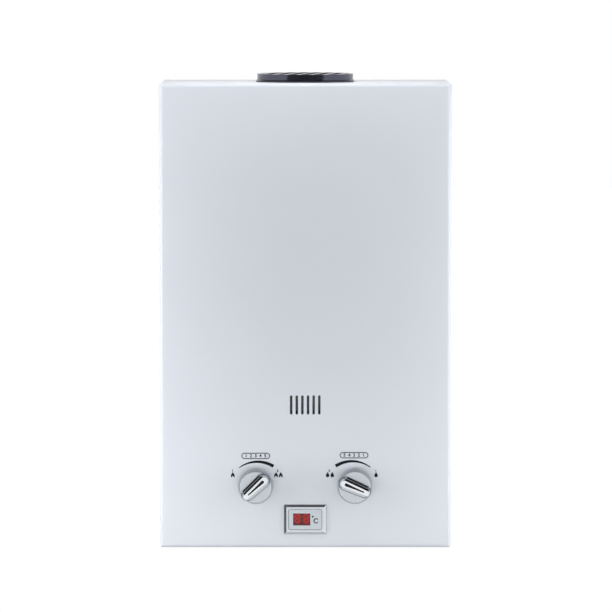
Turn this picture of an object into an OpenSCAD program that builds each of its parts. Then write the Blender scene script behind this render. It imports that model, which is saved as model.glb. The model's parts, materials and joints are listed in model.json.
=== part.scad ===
// Wall-hung tankless gas water heater.
// Frame: +Z up, the front faces -Y, the wall is the plane y = 0.
// The origin is the centre of the four wall holes, on the back face.

/* [Casing] */
// Width of the casing
case_w = 332; // [320:1:380]
// Height of the casing
case_h = 530; // [505:1:600]
// Depth from the wall to the front panel
case_d = 135; // [133:1:165]
// Thickness of the enamelled sheet steel
sheet = 1.2; // [0.8:0.1:1.6]
// Rounding of the front panel's four edges
edge_r = 6; // [3:0.5:10]
// Rounding of the casing's corners, seen from the front
corner_r = 4; // [2:0.5:8]
// Gap between the cover's rear edge and the wall
wall_gap = 2; // [1:0.5:6]
// Width of the lip under the cover
lip_w = 10; // [8:1:12]
// Height of the floor plate above the casing's lower edge
floor_inset = 14; // [10:1:15]
// Depth of the back plate's flanges
flange_d = 20; // [14:1:26]
// Clearance between sheets and pieces that fit together
fit = 0.3; // [0.2:0.05:0.5]
// Radial clearance of turning and sliding shafts
run = 0.06; // [0.03:0.01:0.1]

/* [Wall holes] */
// Diameter of a wall hole
wall_hole_d = 7; // [5:0.5:9]
// Distance between the left and right wall holes
wall_dx = 240; // [225:1:290]
// Distance between the upper and lower wall holes
wall_dz = 460; // [430:1:475]

/* [Viewing slots] */
// Number of slots
slot_count = 6; // [4:1:8]
// Width of a slot
slot_w = 2.8; // [2:0.1:3.6]
// Length of a slot
slot_h = 22; // [16:1:28]
// Distance between slot centres
slot_pitch = 6.4; // [5:0.1:7]
// Height of the slot centres above the casing's lower edge
slot_up = 164; // [156:1:180]

/* [Flue] */
// Outer diameter of the flue collar
flue_d = 110; // [90:1:112]
// Distance of the burner and flue axis from the wall
stack_y = 67; // [66:0.5:70]
// Height of the collar's rim above the casing
collar_up = 9; // [6:0.5:30]
// Wall of the collar
collar_wall = 1; // [0.8:0.1:1.6]
// Width of the collar's foot flange, turned inwards
collar_foot = 6; // [4:0.5:8]
// How far the stop bead stands out of the collar
bead_out = 1.2; // [0.6:0.1:1.6]
// Gap between the collar and the notch in the cover
notch_gap = 2.2; // [1.8:0.1:4]
// Distance of the hood's top below the casing's top
hood_drop = 28; // [18:1:40]
// Sheet of the draught hood
hood_t = 1; // [0.6:0.1:1.4]
// Number of bars in the flue guard
guard_bars = 7; // [5:1:9]
// Distance between guard bars
guard_pitch = 14.5; // [10:0.5:16]
// Width of a guard bar
guard_bar_w = 5; // [3:0.5:7]
// Depth of the guard's bars and inner ring
guard_h = 4; // [2:0.5:6]
// Thickness of the guard's lip on the rim
guard_lip = 1.2; // [0.8:0.1:2]
// Turn of the bars away from the front to back direction
guard_turn = 10; // [0:1:45]

/* [Knobs] */
// Half the distance between the knob axes
knob_dx = 56.5; // [55:0.5:60]
// Height of the knob axes above the casing's lower edge
knob_up = 71; // [66:0.5:74]
// Diameter of a knob
knob_d = 39.5; // [34:0.5:44]
// Height of the knob's skirt
skirt_h = 12; // [9:0.5:16]
// Wall of the knob's skirt
skirt_t = 1.8; // [1.2:0.1:2.4]
// Gap between the knob and the panel
knob_gap = 1; // [0.6:0.1:2]
// Height of the grip bar above the knob's face
grip_h = 10; // [7:0.5:13]
// Width of the grip bar at its pointer end
grip_w = 16.6; // [13:0.1:17]
// Width of the grip bar at its tail
grip_tail_w = 14.6; // [11:0.1:15]
// Width and height of the sloped foot of the grip bar
grip_foot = 1; // [0.6:0.1:1.6]
// Slope of the grip bar's flanks, as a width lost on each side
grip_flank = 0.4; // [0.2:0.1:1]
// Bevel of the grip bar's top edge
grip_bevel = 1.8; // [1:0.1:2.2]
// Length of the pointer inlay
pointer_l = 23.4; // [16:0.1:26]
// Depth of the pointer inlay
pointer_t = 0.8; // [0.5:0.1:1.2]
// Thickness of the satin face plate
face_t = 0.8; // [0.5:0.1:1.2]
// Temperature pointer, degrees clockwise from the top
temperature_turn = 47.5; // [-67:0.5:67]
// Flow pointer, degrees clockwise from the top
flow_turn = -67; // [-67:0.5:67]
// Diameter of a knob spindle
spindle_d = 8; // [6:0.5:9]
// Diameter of the spindle hole in the panel
spindle_hole_d = 13; // [11:0.5:16]

/* [Display] */
// Height of the display centre above the casing's lower edge
display_up = 33; // [32.5:0.1:36]
// Width of the bezel
bezel_w = 48; // [44:0.5:54]
// Height of the bezel
bezel_h = 33.4; // [32:0.1:36]
// How far the bezel stands out of the panel
bezel_out = 2.3; // [1.8:0.1:6]
// Width of the bezel's sloped border
bezel_slope = 2.6; // [1.5:0.1:3]
// Width of the bezel's flat border
bezel_land = 2; // [1:0.1:2.5]
// Depth of the plate below the bezel's flat border
plate_sink = 0.5; // [0.3:0.1:1.2]
// Thickness of the plate
plate_t = 1.2; // [0.8:0.1:1.6]
// Width of the window
window_w = 19.6; // [16:0.1:21]
// Height of the window
window_h = 13.8; // [11:0.1:16]
// Distance of the window left of the display centre
window_left = 4; // [0:0.5:6]
// Height of a digit
digit_h = 9.6; // [8:0.1:10.2]
// Width of a digit
digit_w = 5.6; // [4.5:0.1:6.4]
// Depth of the display housing behind the panel
housing_d = 20; // [16:1:24]

/* [Heat exchanger] */
// Width of the jacket
jacket_w = 216; // [205:1:222]
// Depth of the jacket
jacket_d = 92; // [86:1:94]
// Height of the jacket
jacket_h = 236; // [200:1:250]
// Copper sheet of the jacket and burner frame
jacket_t = 1; // [0.6:0.1:1.5]
// Diameter of the water tubes
tube_d = 12; // [10:0.5:13]
// Wall of the water tubes
tube_t = 1; // [0.6:0.1:1.5]
// Distance between the tubes in the fin pack
tube_pitch = 15; // [14:0.5:16]
// Number of fins
fin_count = 36; // [20:1:44]
// Thickness of a fin
fin_t = 0.5; // [0.3:0.1:0.8]
// Height of a fin
fin_h = 46; // [36:1:60]
// Distance of the riser and hot pipe from the jacket's sides
pipe_out = 28.5; // [28:0.5:34]
// Bend radius of the riser and hot pipe
pipe_bend = 16; // [12:1:20]

/* [Burner] */
// Number of burner bars
burner_count = 8; // [6:1:8]
// Distance between burner bars
burner_pitch = 25; // [22:0.5:25.5]
// Width of a burner bar's mixing tube
mixer_d = 16; // [13:0.5:18]
// Width of a burner bar's head
burner_head_w = 11; // [8:0.5:14]
// Number of flame slits across a burner bar
slit_count = 9; // [6:1:12]
// Depth of the gas manifold
manifold_d = 12; // [10:0.5:12.5]
// Height of the gas manifold
manifold_h = 14; // [12:0.5:16]
// Length of an injector outside the manifold
injector_l = 5; // [4:0.5:6]
// Gap between the manifold and the burner frame
manifold_gap = 3; // [2.5:0.5:3.5]

/* [Gas valve] */
// Distance of the valve axis from the wall
valve_y = 64; // [62:0.5:66]
// Width of the gas valve body
gas_w = 56; // [52:1:58]
// Depth of the gas valve body
gas_depth = 60; // [54:1:62]
// Height of the gas valve body above the spindle
gas_top = 25; // [22:0.5:27]
// Height of the valve bodies below the spindle
valve_low = 29; // [27:0.5:31]
// Diameter of the plunger chamber
chamber_d = 26; // [24:0.5:28]
// Wall between the chamber and the push rod's outlet
chamber_wall = 6; // [4:0.5:8]
// Diameter of the solenoid's coil
coil_d = 30; // [28:0.5:32]
// Length of the solenoid outside the body
coil_l = 26; // [20:1:30]
// Distance between a valve's gland and the panel
gland_gap = 10; // [8:0.5:12]
// Diameter of a gland
gland_d = 24; // [20:0.5:26]

/* [Water valve] */
// Diameter of the diaphragm housing
diaphragm_d = 58; // [54:0.5:60]
// Thickness of the diaphragm
diaphragm_t = 1.5; // [1:0.1:2]
// Depth of the diaphragm cover
diaphragm_cover_t = 12; // [11:0.5:13]
// Depth of the body's flange
water_flange_t = 12.5; // [10:0.5:14]
// Length of the valve barrel
barrel_l = 44; // [40:1:46]
// Diameter of the valve barrel
barrel_d = 44; // [38:1:46]
// Diameter of the push rod
rod_d = 6; // [5:0.5:7]

/* [Pipe stubs] */
// Thread diameter of the three stubs
thread_d = 20.95; // [18:0.05:22]
// Length of the thread
thread_l = 16; // [12:1:18]
// Bore of a stub
stub_bore = 13; // [10:0.5:14]
// Length of the neck between the floor and the thread
neck_l = 4; // [3:0.5:6]

/* [Battery box] */
// Diameter of a cell
cell_d = 33; // [30:0.5:34]
// Length of a cell
cell_l = 61; // [50:0.5:62]
// Wall of the battery box
box_t = 1.6; // [1.2:0.1:2.4]
// Distance of the cells from the wall
cell_y = 103; // [101:0.5:104]
// Space for the contact springs above the cells
spring_room = 8; // [6:0.5:10]
// Thickness of the battery door
door_t = 2; // [1.5:0.1:2.5]
// Diameter of the door pin
door_pin_d = 3; // [2:0.1:3]

/* [Igniter] */
// Width of the igniter box
igniter_w = 34; // [28:1:36]
// Depth of the igniter box
igniter_d = 32; // [24:1:36]
// Height of the igniter box
igniter_h = 84; // [60:1:100]

/* [Hidden] */
$fn = 48;

enamel = "#dde1e8";
galvanised = "#b9bec2";
copper = "#b87a56";
brass = "#c2a45a";
cast = "#a9adb0";
chrome = "#d5d9de";
black = "#24262a";

// How far a cutting solid runs past the face that it cuts
over = 1;

// Casing planes
x_half = case_w / 2;
z_top = case_h / 2;
z_bot = -case_h / 2;
y_front = -case_d;
y_in = y_front + sheet;
tray_inset = sheet + fit;
tray_half = x_half - tray_inset;
floor_z = z_bot + floor_inset;
floor_top = floor_z + sheet;
floor_half = tray_half - sheet - fit;
floor_front = y_in + edge_r;
floor_back = -sheet - fit;
floor_flange = 14;

// Cover fixings: two hooks at the top, two screws below
hook_w = 20;
hook_x = x_half - 45;
hook_y = -flange_d * 0.6;
cover_screw_d = 4;
cover_screw_l = 8;
cover_screw_x = x_half - lip_w / 2 - sheet;

// Flue
axis_y = -stack_y;
notch_d = flue_d + 2 * notch_gap;
hood_top = z_top - hood_drop;
hood_lap = 10;
hood_slope_h = 34;
collar_rim = z_top + collar_up - guard_lip;
collar_in_d = flue_d - 2 * collar_wall;
bead_z = z_top + bead_out;

// Knobs, display and slots
knob_z = z_bot + knob_up;
slot_z = z_bot + slot_up;
display_z = z_bot + display_up;
knob_r = knob_d / 2;
face_r = knob_r - skirt_t;
hub_d = spindle_d + 8;
spindle_seat = skirt_h - 3;
grip_overhang = 1.15;
grip_front = face_r - grip_w / 2 + grip_overhang;
grip_tail = face_r - grip_tail_w / 2 + grip_overhang;
pointer_r = 1.8;
pointer_inset = 3;
pointer_end = grip_front + grip_w / 2 - grip_foot - grip_flank - grip_bevel - pointer_inset;
pointer_tail_r = 0.5;

// Burner and jacket, between the gas valve and the viewing slots
burner_gap = 4;
burner_z = knob_z + gas_top + burner_gap;
jacket_z = slot_z - slot_h / 2 - 5;
jacket_top = jacket_z + jacket_h;
jacket_front = axis_y - jacket_d / 2;
jacket_back = axis_y + jacket_d / 2;
jacket_x = jacket_w / 2;
burner_ledge = 8;
mixer_z = burner_z + jacket_t + mixer_d / 2;
burner_depth = jacket_d - 2 * jacket_t - 2 * fit;
burner_top = jacket_z - 1;
burner_neck_w = 5;
manifold_y = jacket_front - manifold_gap - manifold_d / 2;
manifold_x = burner_pitch * (burner_count - 1) / 2 + 9;
tube_z = jacket_top - fin_h / 2 - 3;
tube_stub = 8;
fin_span = jacket_w - 2 * jacket_t - 8;
window_x = slot_pitch * slot_count / 2 + 4;
window_low = slot_z - slot_h / 2 - 2;
window_high = slot_z + slot_h / 2 + 2;

// Valves
valve_axis_y = -valve_y;
gas_x = -knob_dx;
water_x = knob_dx;
gas_left = gas_x - gas_w / 2;
gas_right = gas_x + gas_w / 2;
gas_front = valve_axis_y - gas_depth / 2;
valve_bottom = knob_z - valve_low;
gland_y = y_in + gland_gap;
gas_bore_y = valve_axis_y - chamber_d / 2 - 4;
solenoid_nose = 10;
plunger_t = 4;
plunger_x = gas_right - chamber_wall - 0.5;
barrel_left = water_x - barrel_l / 2;
barrel_right = water_x + barrel_l / 2;
diaphragm_x = barrel_left - water_flange_t;
diaphragm_cover_x = diaphragm_x - diaphragm_t - diaphragm_cover_t;
water_bore_y = valve_axis_y - 8;
water_boss_l = 5;
rod_plate_t = 2.2;
rod_end = diaphragm_x - diaphragm_t - fit;
pressure_d = diaphragm_d - 14;
rod_plate_d = 0.75 * pressure_d;

// Switch, in the gap between the two valves
switch_x = (gas_right + diaphragm_cover_x) / 2;
cam_slope = 0.3;
cam_l = 10;
cam_ring = 3;
cam_x = switch_x - 4;
cam_r = rod_d / 2 + cam_slope * cam_l;
roller_r = 2;
roller_z = knob_z + rod_d / 2 + cam_slope * 4 + (roller_r + fit) / cos(atan(cam_slope));
lever_x = switch_x - 12;
lever_z = knob_z + 10.5;
lever_pin_d = 1.6;
switch_z = knob_z + 13;
switch_w = 10;

// Stubs and pipes
stub_flange_d = 34;
stub_flange_t = 4;
stub_body_d = 22;
stub_end = floor_z - neck_l - thread_l;
neck_d = thread_d - 3;
floor_hole_d = thread_d + 1.6;
hot_joint_z = floor_top + 16;
pipe_x = jacket_x + pipe_out;
hot_x = -pipe_x;
tube_back_y = axis_y + 2 * tube_pitch;
tube_front_y = axis_y - 2 * tube_pitch;
drain_x = diaphragm_x + water_flange_t / 2;
drain_d = 11;
drain_thread_d = drain_d - 3;
drain_top = valve_bottom - 5;

// Battery box
cell_gap = 1;
cell_bore = cell_d + cell_gap;
cell_pitch = cell_bore + 0.8;
box_d = cell_bore + 2 * box_t;
box_gap = 1.5;
box_x = water_x + gland_d / 2 + box_gap + box_d / 2 + cell_pitch / 2;
box_y = -cell_y;
cell_z = floor_z + 0.5;
box_roof = cell_z + cell_l + spring_room;
hinge_y = box_y + cell_bore / 2 + 6;
hinge_z = floor_z - door_pin_d / 2 - 1.5;
ear_x = cell_pitch / 2 + 8;
ear_t = 4;
ear_half = 4;
knuckle_d = 2 * (floor_z - fit - hinge_z);

// Display, all measured out from the panel's face
plate_w = bezel_w - 2 * bezel_slope - 2 * bezel_land;
plate_h = bezel_h - 2 * bezel_slope - 2 * bezel_land;
plate_r = 2.4;
plate_y = y_front - bezel_out + plate_sink;
plate_ledge = 1.5;
sleeve_t = 1.5;
sleeve_l = 3;
block_y = plate_y + plate_t + 0.2;
segment_t = 0.3;
block_d = 6;
board_t = 1.6;
board_y = block_y + block_d;
housing_t = 1.4;
sleeve_w = plate_w + 2 * sleeve_t;
sleeve_h = plate_h + 2 * sleeve_t;
housing_w = sleeve_w + 2 * fit + 2 * housing_t;
housing_h = sleeve_h + 2 * fit + 2 * housing_t;
segment_w = 1.3;
digit_step = window_w * 0.42;

// Ignition
electrode_z = jacket_z + 15;
electrode_x = [window_x + 22, window_x + 44];
insulator_d = 8;
insulator_out = 9;
insulator_in = 9;
wire_d = 2;
wire_out = 6;
bracket_t = 1.2;
igniter_gap = 3;
igniter_x = igniter_gap + igniter_w / 2 + sheet - tray_half;
igniter_z = jacket_z - 30;
lug_l = 8;

// Route of each ignition lead, from the igniter box along the burner's front to its electrode
lead_d = 5;
lead_step = 1.8 * lead_d;
lead_low = mixer_z + manifold_h / 2 + lead_d;
lead_y = jacket_front - 1.6 * lead_d;
lead_side = -jacket_x - 1.8 * lead_d;
lead_routes = [for (i = [0, 1])
  let (
    start = [igniter_x + (0.5 - i) * 2 * lead_d, floor_back - igniter_d / 2, igniter_z - fit],
    z = lead_low + lead_step * (1 - i),
    e = electrode_x[i],
    end = [e, jacket_front - insulator_out - wire_out / 2, electrode_z - wire_d / 2 - fit]
  )
  [
    start,
    start - [0, 0, lead_d],
    start - [0, 0, 2 * lead_d],
    [lead_side - lead_d, start[1] - 3.6 * lead_d, igniter_z - 4 * lead_d - lead_step * i],
    [lead_side, valve_axis_y, z - 3 * lead_d],
    [lead_side, jacket_front + 2 * lead_d, z - lead_d],
    [lead_side + 0.6 * lead_d, jacket_front - lead_d, z],
    [2 * lead_d - jacket_x, lead_y, z],
    [-window_x, lead_y, z],
    [e - 5.2 * lead_d, lead_y, z],
    [e - 1.2 * lead_d, end[1], z + 0.4 * lead_d],
    end - [0, 0, 2 * lead_d],
    end - [0, 0, lead_d],
    end
  ]];

// Helpers

function unit(v) = v / norm(v);

module box(lo, hi) {
  translate(lo) cube(hi - lo);
}

module rod_x(d, x0, x1, y, z) {
  translate([x0, y, z]) rotate([0, 90, 0]) cylinder(d = d, h = x1 - x0);
}

module rod_y(d, y0, y1, x, z) {
  translate([x, y0, z]) rotate([-90, 0, 0]) cylinder(d = d, h = y1 - y0);
}

module rod_z(d, z0, z1, x, y) {
  translate([x, y, z0]) cylinder(d = d, h = z1 - z0);
}

// Rectangle with four round corners
module round_rect(w, h, r) {
  square([w - 2 * r, h], center = true);
  square([w, h - 2 * r], center = true);
  for (sx = [-1, 1], sy = [-1, 1])
    translate([sx * (w / 2 - r), sy * (h / 2 - r)]) circle(r);
}

// Upright panel with round corners, from y0 to y1
module panel(w, h, r, y0, y1, x, z) {
  translate([x, y1, z]) rotate([90, 0, 0]) linear_extrude(y1 - y0) round_rect(w, h, r);
}

// Rectangle across u whose two corners at v0 are round
module front_rounded(w, v0, v1, r) {
  translate([-w / 2, v0 + r]) square([w, v1 - v0 - r]);
  translate([-w / 2 + r, v0]) square([w - 2 * r, v1 - v0]);
  for (s = [-1, 1])
    translate([s * (w / 2 - r), v0 + r]) circle(r);
}

// Solid outline of the casing, drawn in by inset, from its front to y_back
module case_block(inset, y_back) {
  w = case_w - 2 * inset;
  h = case_h - 2 * inset;
  v0 = y_front + inset;
  r = max(edge_r - inset, fit);
  c = max(corner_r - inset, fit);
  intersection() {
    translate([0, 0, -h / 2]) linear_extrude(h) front_rounded(w, v0, y_back, r);
    translate([-w / 2, 0, 0]) rotate([90, 0, 90]) linear_extrude(w)
      mirror([1, -1]) front_rounded(h, v0, y_back, r);
    translate([0, y_back, 0]) rotate([90, 0, 0]) linear_extrude(y_back - v0) round_rect(w, h, c);
  }
}

// Four-sided block whose front face is smaller by slope on each side
module sloped_block(w, h, y0, y1, slope, z) {
  translate([0, 0, z]) intersection() {
    translate([0, 0, -h / 2]) linear_extrude(h)
      polygon([[-w / 2, y1], [w / 2, y1], [w / 2 - slope, y0], [slope - w / 2, y0]]);
    translate([-w / 2, 0, 0]) rotate([90, 0, 90]) linear_extrude(w)
      polygon([[y1, -h / 2], [y1, h / 2], [y0, h / 2 - slope], [y0, slope - h / 2]]);
  }
}

// Two flat push-on terminals standing out to the left of x
module blades(x, y, z) {
  blade_l = 8;
  blade_w = 6;
  blade_t = 0.8;
  for (s = [-4, 4])
    box([x - blade_l, y + s - blade_t / 2, z - blade_w / 2], [x, y + s + blade_t / 2, z + blade_w / 2]);
}

// Straight piece of pipe
module straight(a, b, d) {
  l = norm(b - a);
  if (l > 0.01)
    translate(a) rotate([0, acos((b[2] - a[2]) / l), atan2(b[1] - a[1], b[0] - a[0])])
      cylinder(d = d, h = l);
}

// Bend of radius r at the corner p, between the directions u and v
module bend(p, u, v, d, r) {
  n = unit(v - u * (u * v));
  turn = acos(u * v);
  c = p - u * r * tan(turn / 2) + n * r;
  w = cross(-n, u);
  multmatrix([
    [-n[0], u[0], w[0], c[0]],
    [-n[1], u[1], w[1], c[1]],
    [-n[2], u[2], w[2], c[2]],
    [0, 0, 0, 1]
  ])
    rotate_extrude(angle = turn) translate([r, 0]) circle(d = d);
}

// Round pipe along corner points, with bends of radius r
module pipe(points, d, r) {
  last = len(points) - 1;
  way = [for (i = [0:last - 1]) unit(points[i + 1] - points[i])];
  cut = [for (i = [0:last])
    (i == 0 || i == last) ? 0 : r * tan(acos(way[i - 1] * way[i]) / 2)];
  for (i = [0:last - 1])
    straight(points[i] + way[i] * cut[i], points[i + 1] - way[i] * cut[i + 1], d);
  for (i = [1:last - 1])
    bend(points[i], way[i - 1], way[i], d, r);
}

module hollow_pipe(points, r) {
  difference() {
    pipe(points, tube_d, r);
    pipe(points, tube_d - 2 * tube_t, r);
  }
}

// Ring of points round the wire at point i, square to its run
function wire_ring(p, i, r, sides, up) =
  let (
    t = unit(p[min(i + 1, len(p) - 1)] - p[max(i - 1, 0)]),
    a = unit(cross(up, t)),
    b = cross(t, a)
  )
  [for (k = [0:sides - 1]) p[i] + r * (a * cos(360 * k / sides) + b * sin(360 * k / sides))];

// Round wire swept along points, never parallel to up
module wire(p, d, sides, up) {
  n = len(p);
  rings = [for (i = [0:n - 1]) each wire_ring(p, i, d / 2, sides, up)];
  walls = [for (i = [0:n - 2], k = [0:sides - 1])
    let (a = i * sides + k, b = i * sides + (k + 1) % sides)
    each [[a, a + sides, b], [b, a + sides, b + sides]]];
  first_cap = [for (k = [1:sides - 2]) [0, k, k + 1]];
  end = (n - 1) * sides;
  last_cap = [for (k = [1:sides - 2]) [end, end + k + 1, end + k]];
  polyhedron(points = rings, faces = concat(walls, first_cap, last_cap));
}

// Points of a coil spring along +Z, eight to a turn
function coil(turns, r, l) =
  [for (i = [0:turns * 8]) [r * cos(45 * i), r * sin(45 * i), l * i / (turns * 8)]];

// Smooth curve through corner points, for the leads
function curve_point(a, b, c, d, t) =
  0.5 * (2 * b + (c - a) * t + (2 * a - 5 * b + 4 * c - d) * t * t + (3 * b - a - 3 * c + d) * t * t * t);
function curve(p, steps) =
  let (last = len(p) - 1)
  concat(
    [for (i = [0:last - 1], s = [0:steps - 1])
      curve_point(p[max(i - 1, 0)], p[i], p[i + 1], p[min(i + 2, last)], s / steps)],
    [p[last]]
  );

// Casing

module viewing_slot(x) {
  reach = (slot_h - slot_w) / 2;
  for (s = [-1, 1])
    rod_y(slot_w, y_front - over, y_in + over, x, slot_z + s * reach);
  box([x - slot_w / 2, y_front - over, slot_z - reach], [x + slot_w / 2, y_in + over, slot_z + reach]);
}

module front_cover() {
  color(enamel)
  difference() {
    case_block(0, -wall_gap);
    case_block(sheet, over);
    box([lip_w - x_half, y_front + lip_w, z_bot - over], [x_half - lip_w, over, z_bot + sheet + over]);
    rod_z(notch_d, z_top - sheet - over, z_top + over, 0, axis_y);
    box([-notch_d / 2, axis_y, z_top - sheet - over], [notch_d / 2, over, z_top + over]);
    for (i = [0:slot_count - 1])
      viewing_slot((i - (slot_count - 1) / 2) * slot_pitch);
    for (s = [-1, 1])
      rod_y(spindle_hole_d, y_front - over, y_in + over, s * knob_dx, knob_z);
    panel(sleeve_w + 2 * fit, sleeve_h + 2 * fit, plate_r, y_front - over, y_in + over, 0, display_z);
    for (s = [-1, 1]) {
      box([s * hook_x - hook_w / 2 - fit, hook_y - sheet / 2 - fit, z_top - sheet - over],
        [s * hook_x + hook_w / 2 + fit, hook_y + sheet / 2 + fit, z_top + over]);
      rod_z(cover_screw_d + 2 * fit, z_bot - over, z_bot + sheet + over, s * cover_screw_x, hook_y);
    }
  }
}

// Pressed tray with four folded flanges, opened at the top for the flue
module back_plate() {
  color(galvanised)
  difference() {
    union() {
      difference() {
        panel(2 * tray_half, case_h - 2 * tray_inset, max(corner_r - tray_inset, fit), -flange_d, 0, 0, 0);
        panel(2 * (tray_half - sheet), case_h - 2 * (tray_inset + sheet), fit, -flange_d - over, -sheet, 0, 0);
        box([-notch_d / 2 - 8, -flange_d - over, z_top - tray_inset - sheet - over],
          [notch_d / 2 + 8, axis_y + notch_d / 2, z_top]);
      }
      for (s = [-1, 1])
        box([s * hook_x - hook_w / 2, hook_y - sheet / 2, z_top - tray_inset - sheet],
          [s * hook_x + hook_w / 2, hook_y + sheet / 2, z_top]);
    }
    for (sx = [-1, 1], sz = [-1, 1])
      rod_y(wall_hole_d, -sheet - over, over, sx * wall_dx / 2, sz * wall_dz / 2);
    for (s = [-1, 1])
      rod_z(cover_screw_d, z_bot, z_bot + tray_inset + sheet + over, s * cover_screw_x, hook_y);
  }
}

// Outline of the two cells side by side, seen from below
module cell_pair(d) {
  for (s = [-1, 1])
    translate([box_x + s * cell_pitch / 2, box_y]) circle(d = d);
  translate([box_x - cell_pitch / 2, box_y - d / 2]) square([cell_pitch, d]);
}

// Floor with a turned-up rear flange, air slots and the holes for stubs and cells
module bottom_plate() {
  air_slot_w = 4;
  air_slot_l = 34;
  air_slot_pitch = 11;
  color(galvanised)
  difference() {
    union() {
      box([-floor_half, floor_front, floor_z], [floor_half, floor_back, floor_top]);
      box([-floor_half, floor_back - sheet, floor_z], [floor_half, floor_back, floor_z + floor_flange]);
    }
    for (x = [gas_x, water_x, hot_x])
      rod_z(floor_hole_d, floor_z - over, floor_top + over, x, valve_axis_y);
    rod_z(drain_d + 2, floor_z - over, floor_top + over, drain_x, valve_axis_y);
    translate([0, 0, floor_z - over]) linear_extrude(sheet + 2 * over) cell_pair(cell_bore);
    for (s = [-1, 1])
      box([box_x + s * ear_x - ear_t / 2 - fit, hinge_y - ear_half - fit, floor_z - over],
        [box_x + s * ear_x + ear_t / 2 + fit, hinge_y + ear_half + fit, floor_top + over]);
    for (x = [-5:5], row = [0, 1]) {
      y = [valve_axis_y + 20, floor_front + 6][row];
      if (row == 0 || abs(x * air_slot_pitch) < knob_dx - 8)
        box([x * air_slot_pitch - air_slot_w / 2, y, floor_z - over],
          [x * air_slot_pitch + air_slot_w / 2, y + air_slot_l * (row == 0 ? 0.75 : 1), floor_top + over]);
    }
  }
}

// Two folded brackets that carry the jacket on the back plate
module stack_brackets() {
  leg = 16;
  color(galvanised)
  for (z = [jacket_z + jacket_h / 6, jacket_top - jacket_h / 6])
    translate([-jacket_w * 0.35, 0, z]) rotate([90, 0, 90]) linear_extrude(jacket_w * 0.7)
      polygon([
        [-sheet, 0], [-sheet, leg + sheet], [-2 * sheet, leg + sheet], [-2 * sheet, sheet],
        [jacket_back + sheet, sheet], [jacket_back + sheet, sheet + leg],
        [jacket_back, sheet + leg], [jacket_back, 0]
      ]);
}

module cover_screws() {
  head_d = cover_screw_d * 2;
  head_h = 2;
  color(chrome)
  for (s = [-1, 1]) {
    rod_z(head_d, z_bot - head_h, z_bot, s * cover_screw_x, hook_y);
    rod_z(cover_screw_d - 2 * run, z_bot - head_h, z_bot + cover_screw_l, s * cover_screw_x, hook_y);
  }
}

// Flue

// Spun collar: foot turned in on the hood, stop bead at the casing, straight wall above
module flue_collar() {
  r = flue_d / 2;
  foot_z = hood_top;
  color(black)
  translate([0, axis_y, 0]) rotate_extrude() {
    translate([r - collar_wall - collar_foot, foot_z]) square([collar_foot + collar_wall, collar_wall]);
    difference() {
      union() {
        translate([r - collar_wall, foot_z]) square([collar_wall, collar_rim - foot_z]);
        translate([r, bead_z]) circle(bead_out);
      }
      translate([r - collar_wall - bead_out, foot_z]) square([bead_out, collar_rim - foot_z]);
    }
  }
}

// Guard: a lip on the rim, a ring inside it and slanted bars across
module flue_guard() {
  r = flue_d / 2;
  ring_r = r - collar_wall - fit;
  ring_t = 4;
  color(black)
  translate([0, axis_y, collar_rim]) {
    difference() {
      union() {
        cylinder(r = r, h = guard_lip);
        translate([0, 0, -guard_h]) cylinder(r = ring_r, h = guard_h);
      }
      translate([0, 0, -guard_h - over]) cylinder(r = ring_r - ring_t, h = guard_h + guard_lip + 2 * over);
    }
    intersection() {
      translate([0, 0, -guard_h]) cylinder(r = ring_r - ring_t / 2, h = guard_h + guard_lip);
      rotate([0, 0, -guard_turn])
        for (i = [0:guard_bars - 1])
          box([(i - (guard_bars - 1) / 2) * guard_pitch - guard_bar_w / 2, -r, -guard_h],
            [(i - (guard_bars - 1) / 2) * guard_pitch + guard_bar_w / 2, r, guard_lip]);
    }
  }
}

// Side outline of the draught hood, drawn in by t
module hood_outline(t) {
  low = jacket_d / 2 + fit + hood_t - t;
  high = flue_d / 2 + 8 - t;
  neck = jacket_top + hood_slope_h;
  polygon([
    [axis_y - low, jacket_top - hood_lap], [axis_y - low, neck], [axis_y - high, hood_top - hood_slope_h],
    [axis_y - high, hood_top - t], [axis_y + high, hood_top - t], [axis_y + high, hood_top - hood_slope_h],
    [axis_y + low, neck], [axis_y + low, jacket_top - hood_lap]
  ]);
}

module flue_hood() {
  w = jacket_w + 2 * fit + 2 * hood_t;
  relief_w = w * 0.7;
  relief_h = 14;
  relief_z = jacket_top + hood_lap;
  color(galvanised)
  difference() {
    translate([-w / 2, 0, 0]) rotate([90, 0, 90]) linear_extrude(w) hood_outline(0);
    translate([hood_t - w / 2, 0, 0]) rotate([90, 0, 90]) linear_extrude(w - 2 * hood_t) hood_outline(hood_t);
    rod_z(collar_in_d - 2 * collar_foot, hood_top - hood_t - over, hood_top + over, 0, axis_y);
    box([hood_t - w / 2, axis_y - jacket_d / 2 - fit, jacket_top - hood_lap - over],
      [w / 2 - hood_t, axis_y + jacket_d / 2 + fit, jacket_top]);
    box([-relief_w / 2, axis_y + jacket_d / 2 - 4, relief_z],
      [relief_w / 2, axis_y + jacket_d / 2 + 4, relief_z + relief_h]);
  }
}

// Heat exchanger

// Copper jacket with a sight window, electrode holes and tube holes
module exchanger_jacket() {
  color(copper)
  difference() {
    box([-jacket_x, jacket_front, jacket_z], [jacket_x, jacket_back, jacket_top]);
    box([jacket_t - jacket_x, jacket_front + jacket_t, jacket_z - over],
      [jacket_x - jacket_t, jacket_back - jacket_t, jacket_top + over]);
    box([-window_x, jacket_front - over, window_low],
      [window_x, jacket_front + jacket_t + over, window_high]);
    for (x = electrode_x)
      rod_y(insulator_d + 2 * fit, jacket_front - over, jacket_front + jacket_t + over, x, electrode_z);
    for (i = [-2:2])
      rod_x(tube_d + 2 * run, -jacket_x - over, jacket_x + over, axis_y + i * tube_pitch, tube_z);
  }
}

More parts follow.
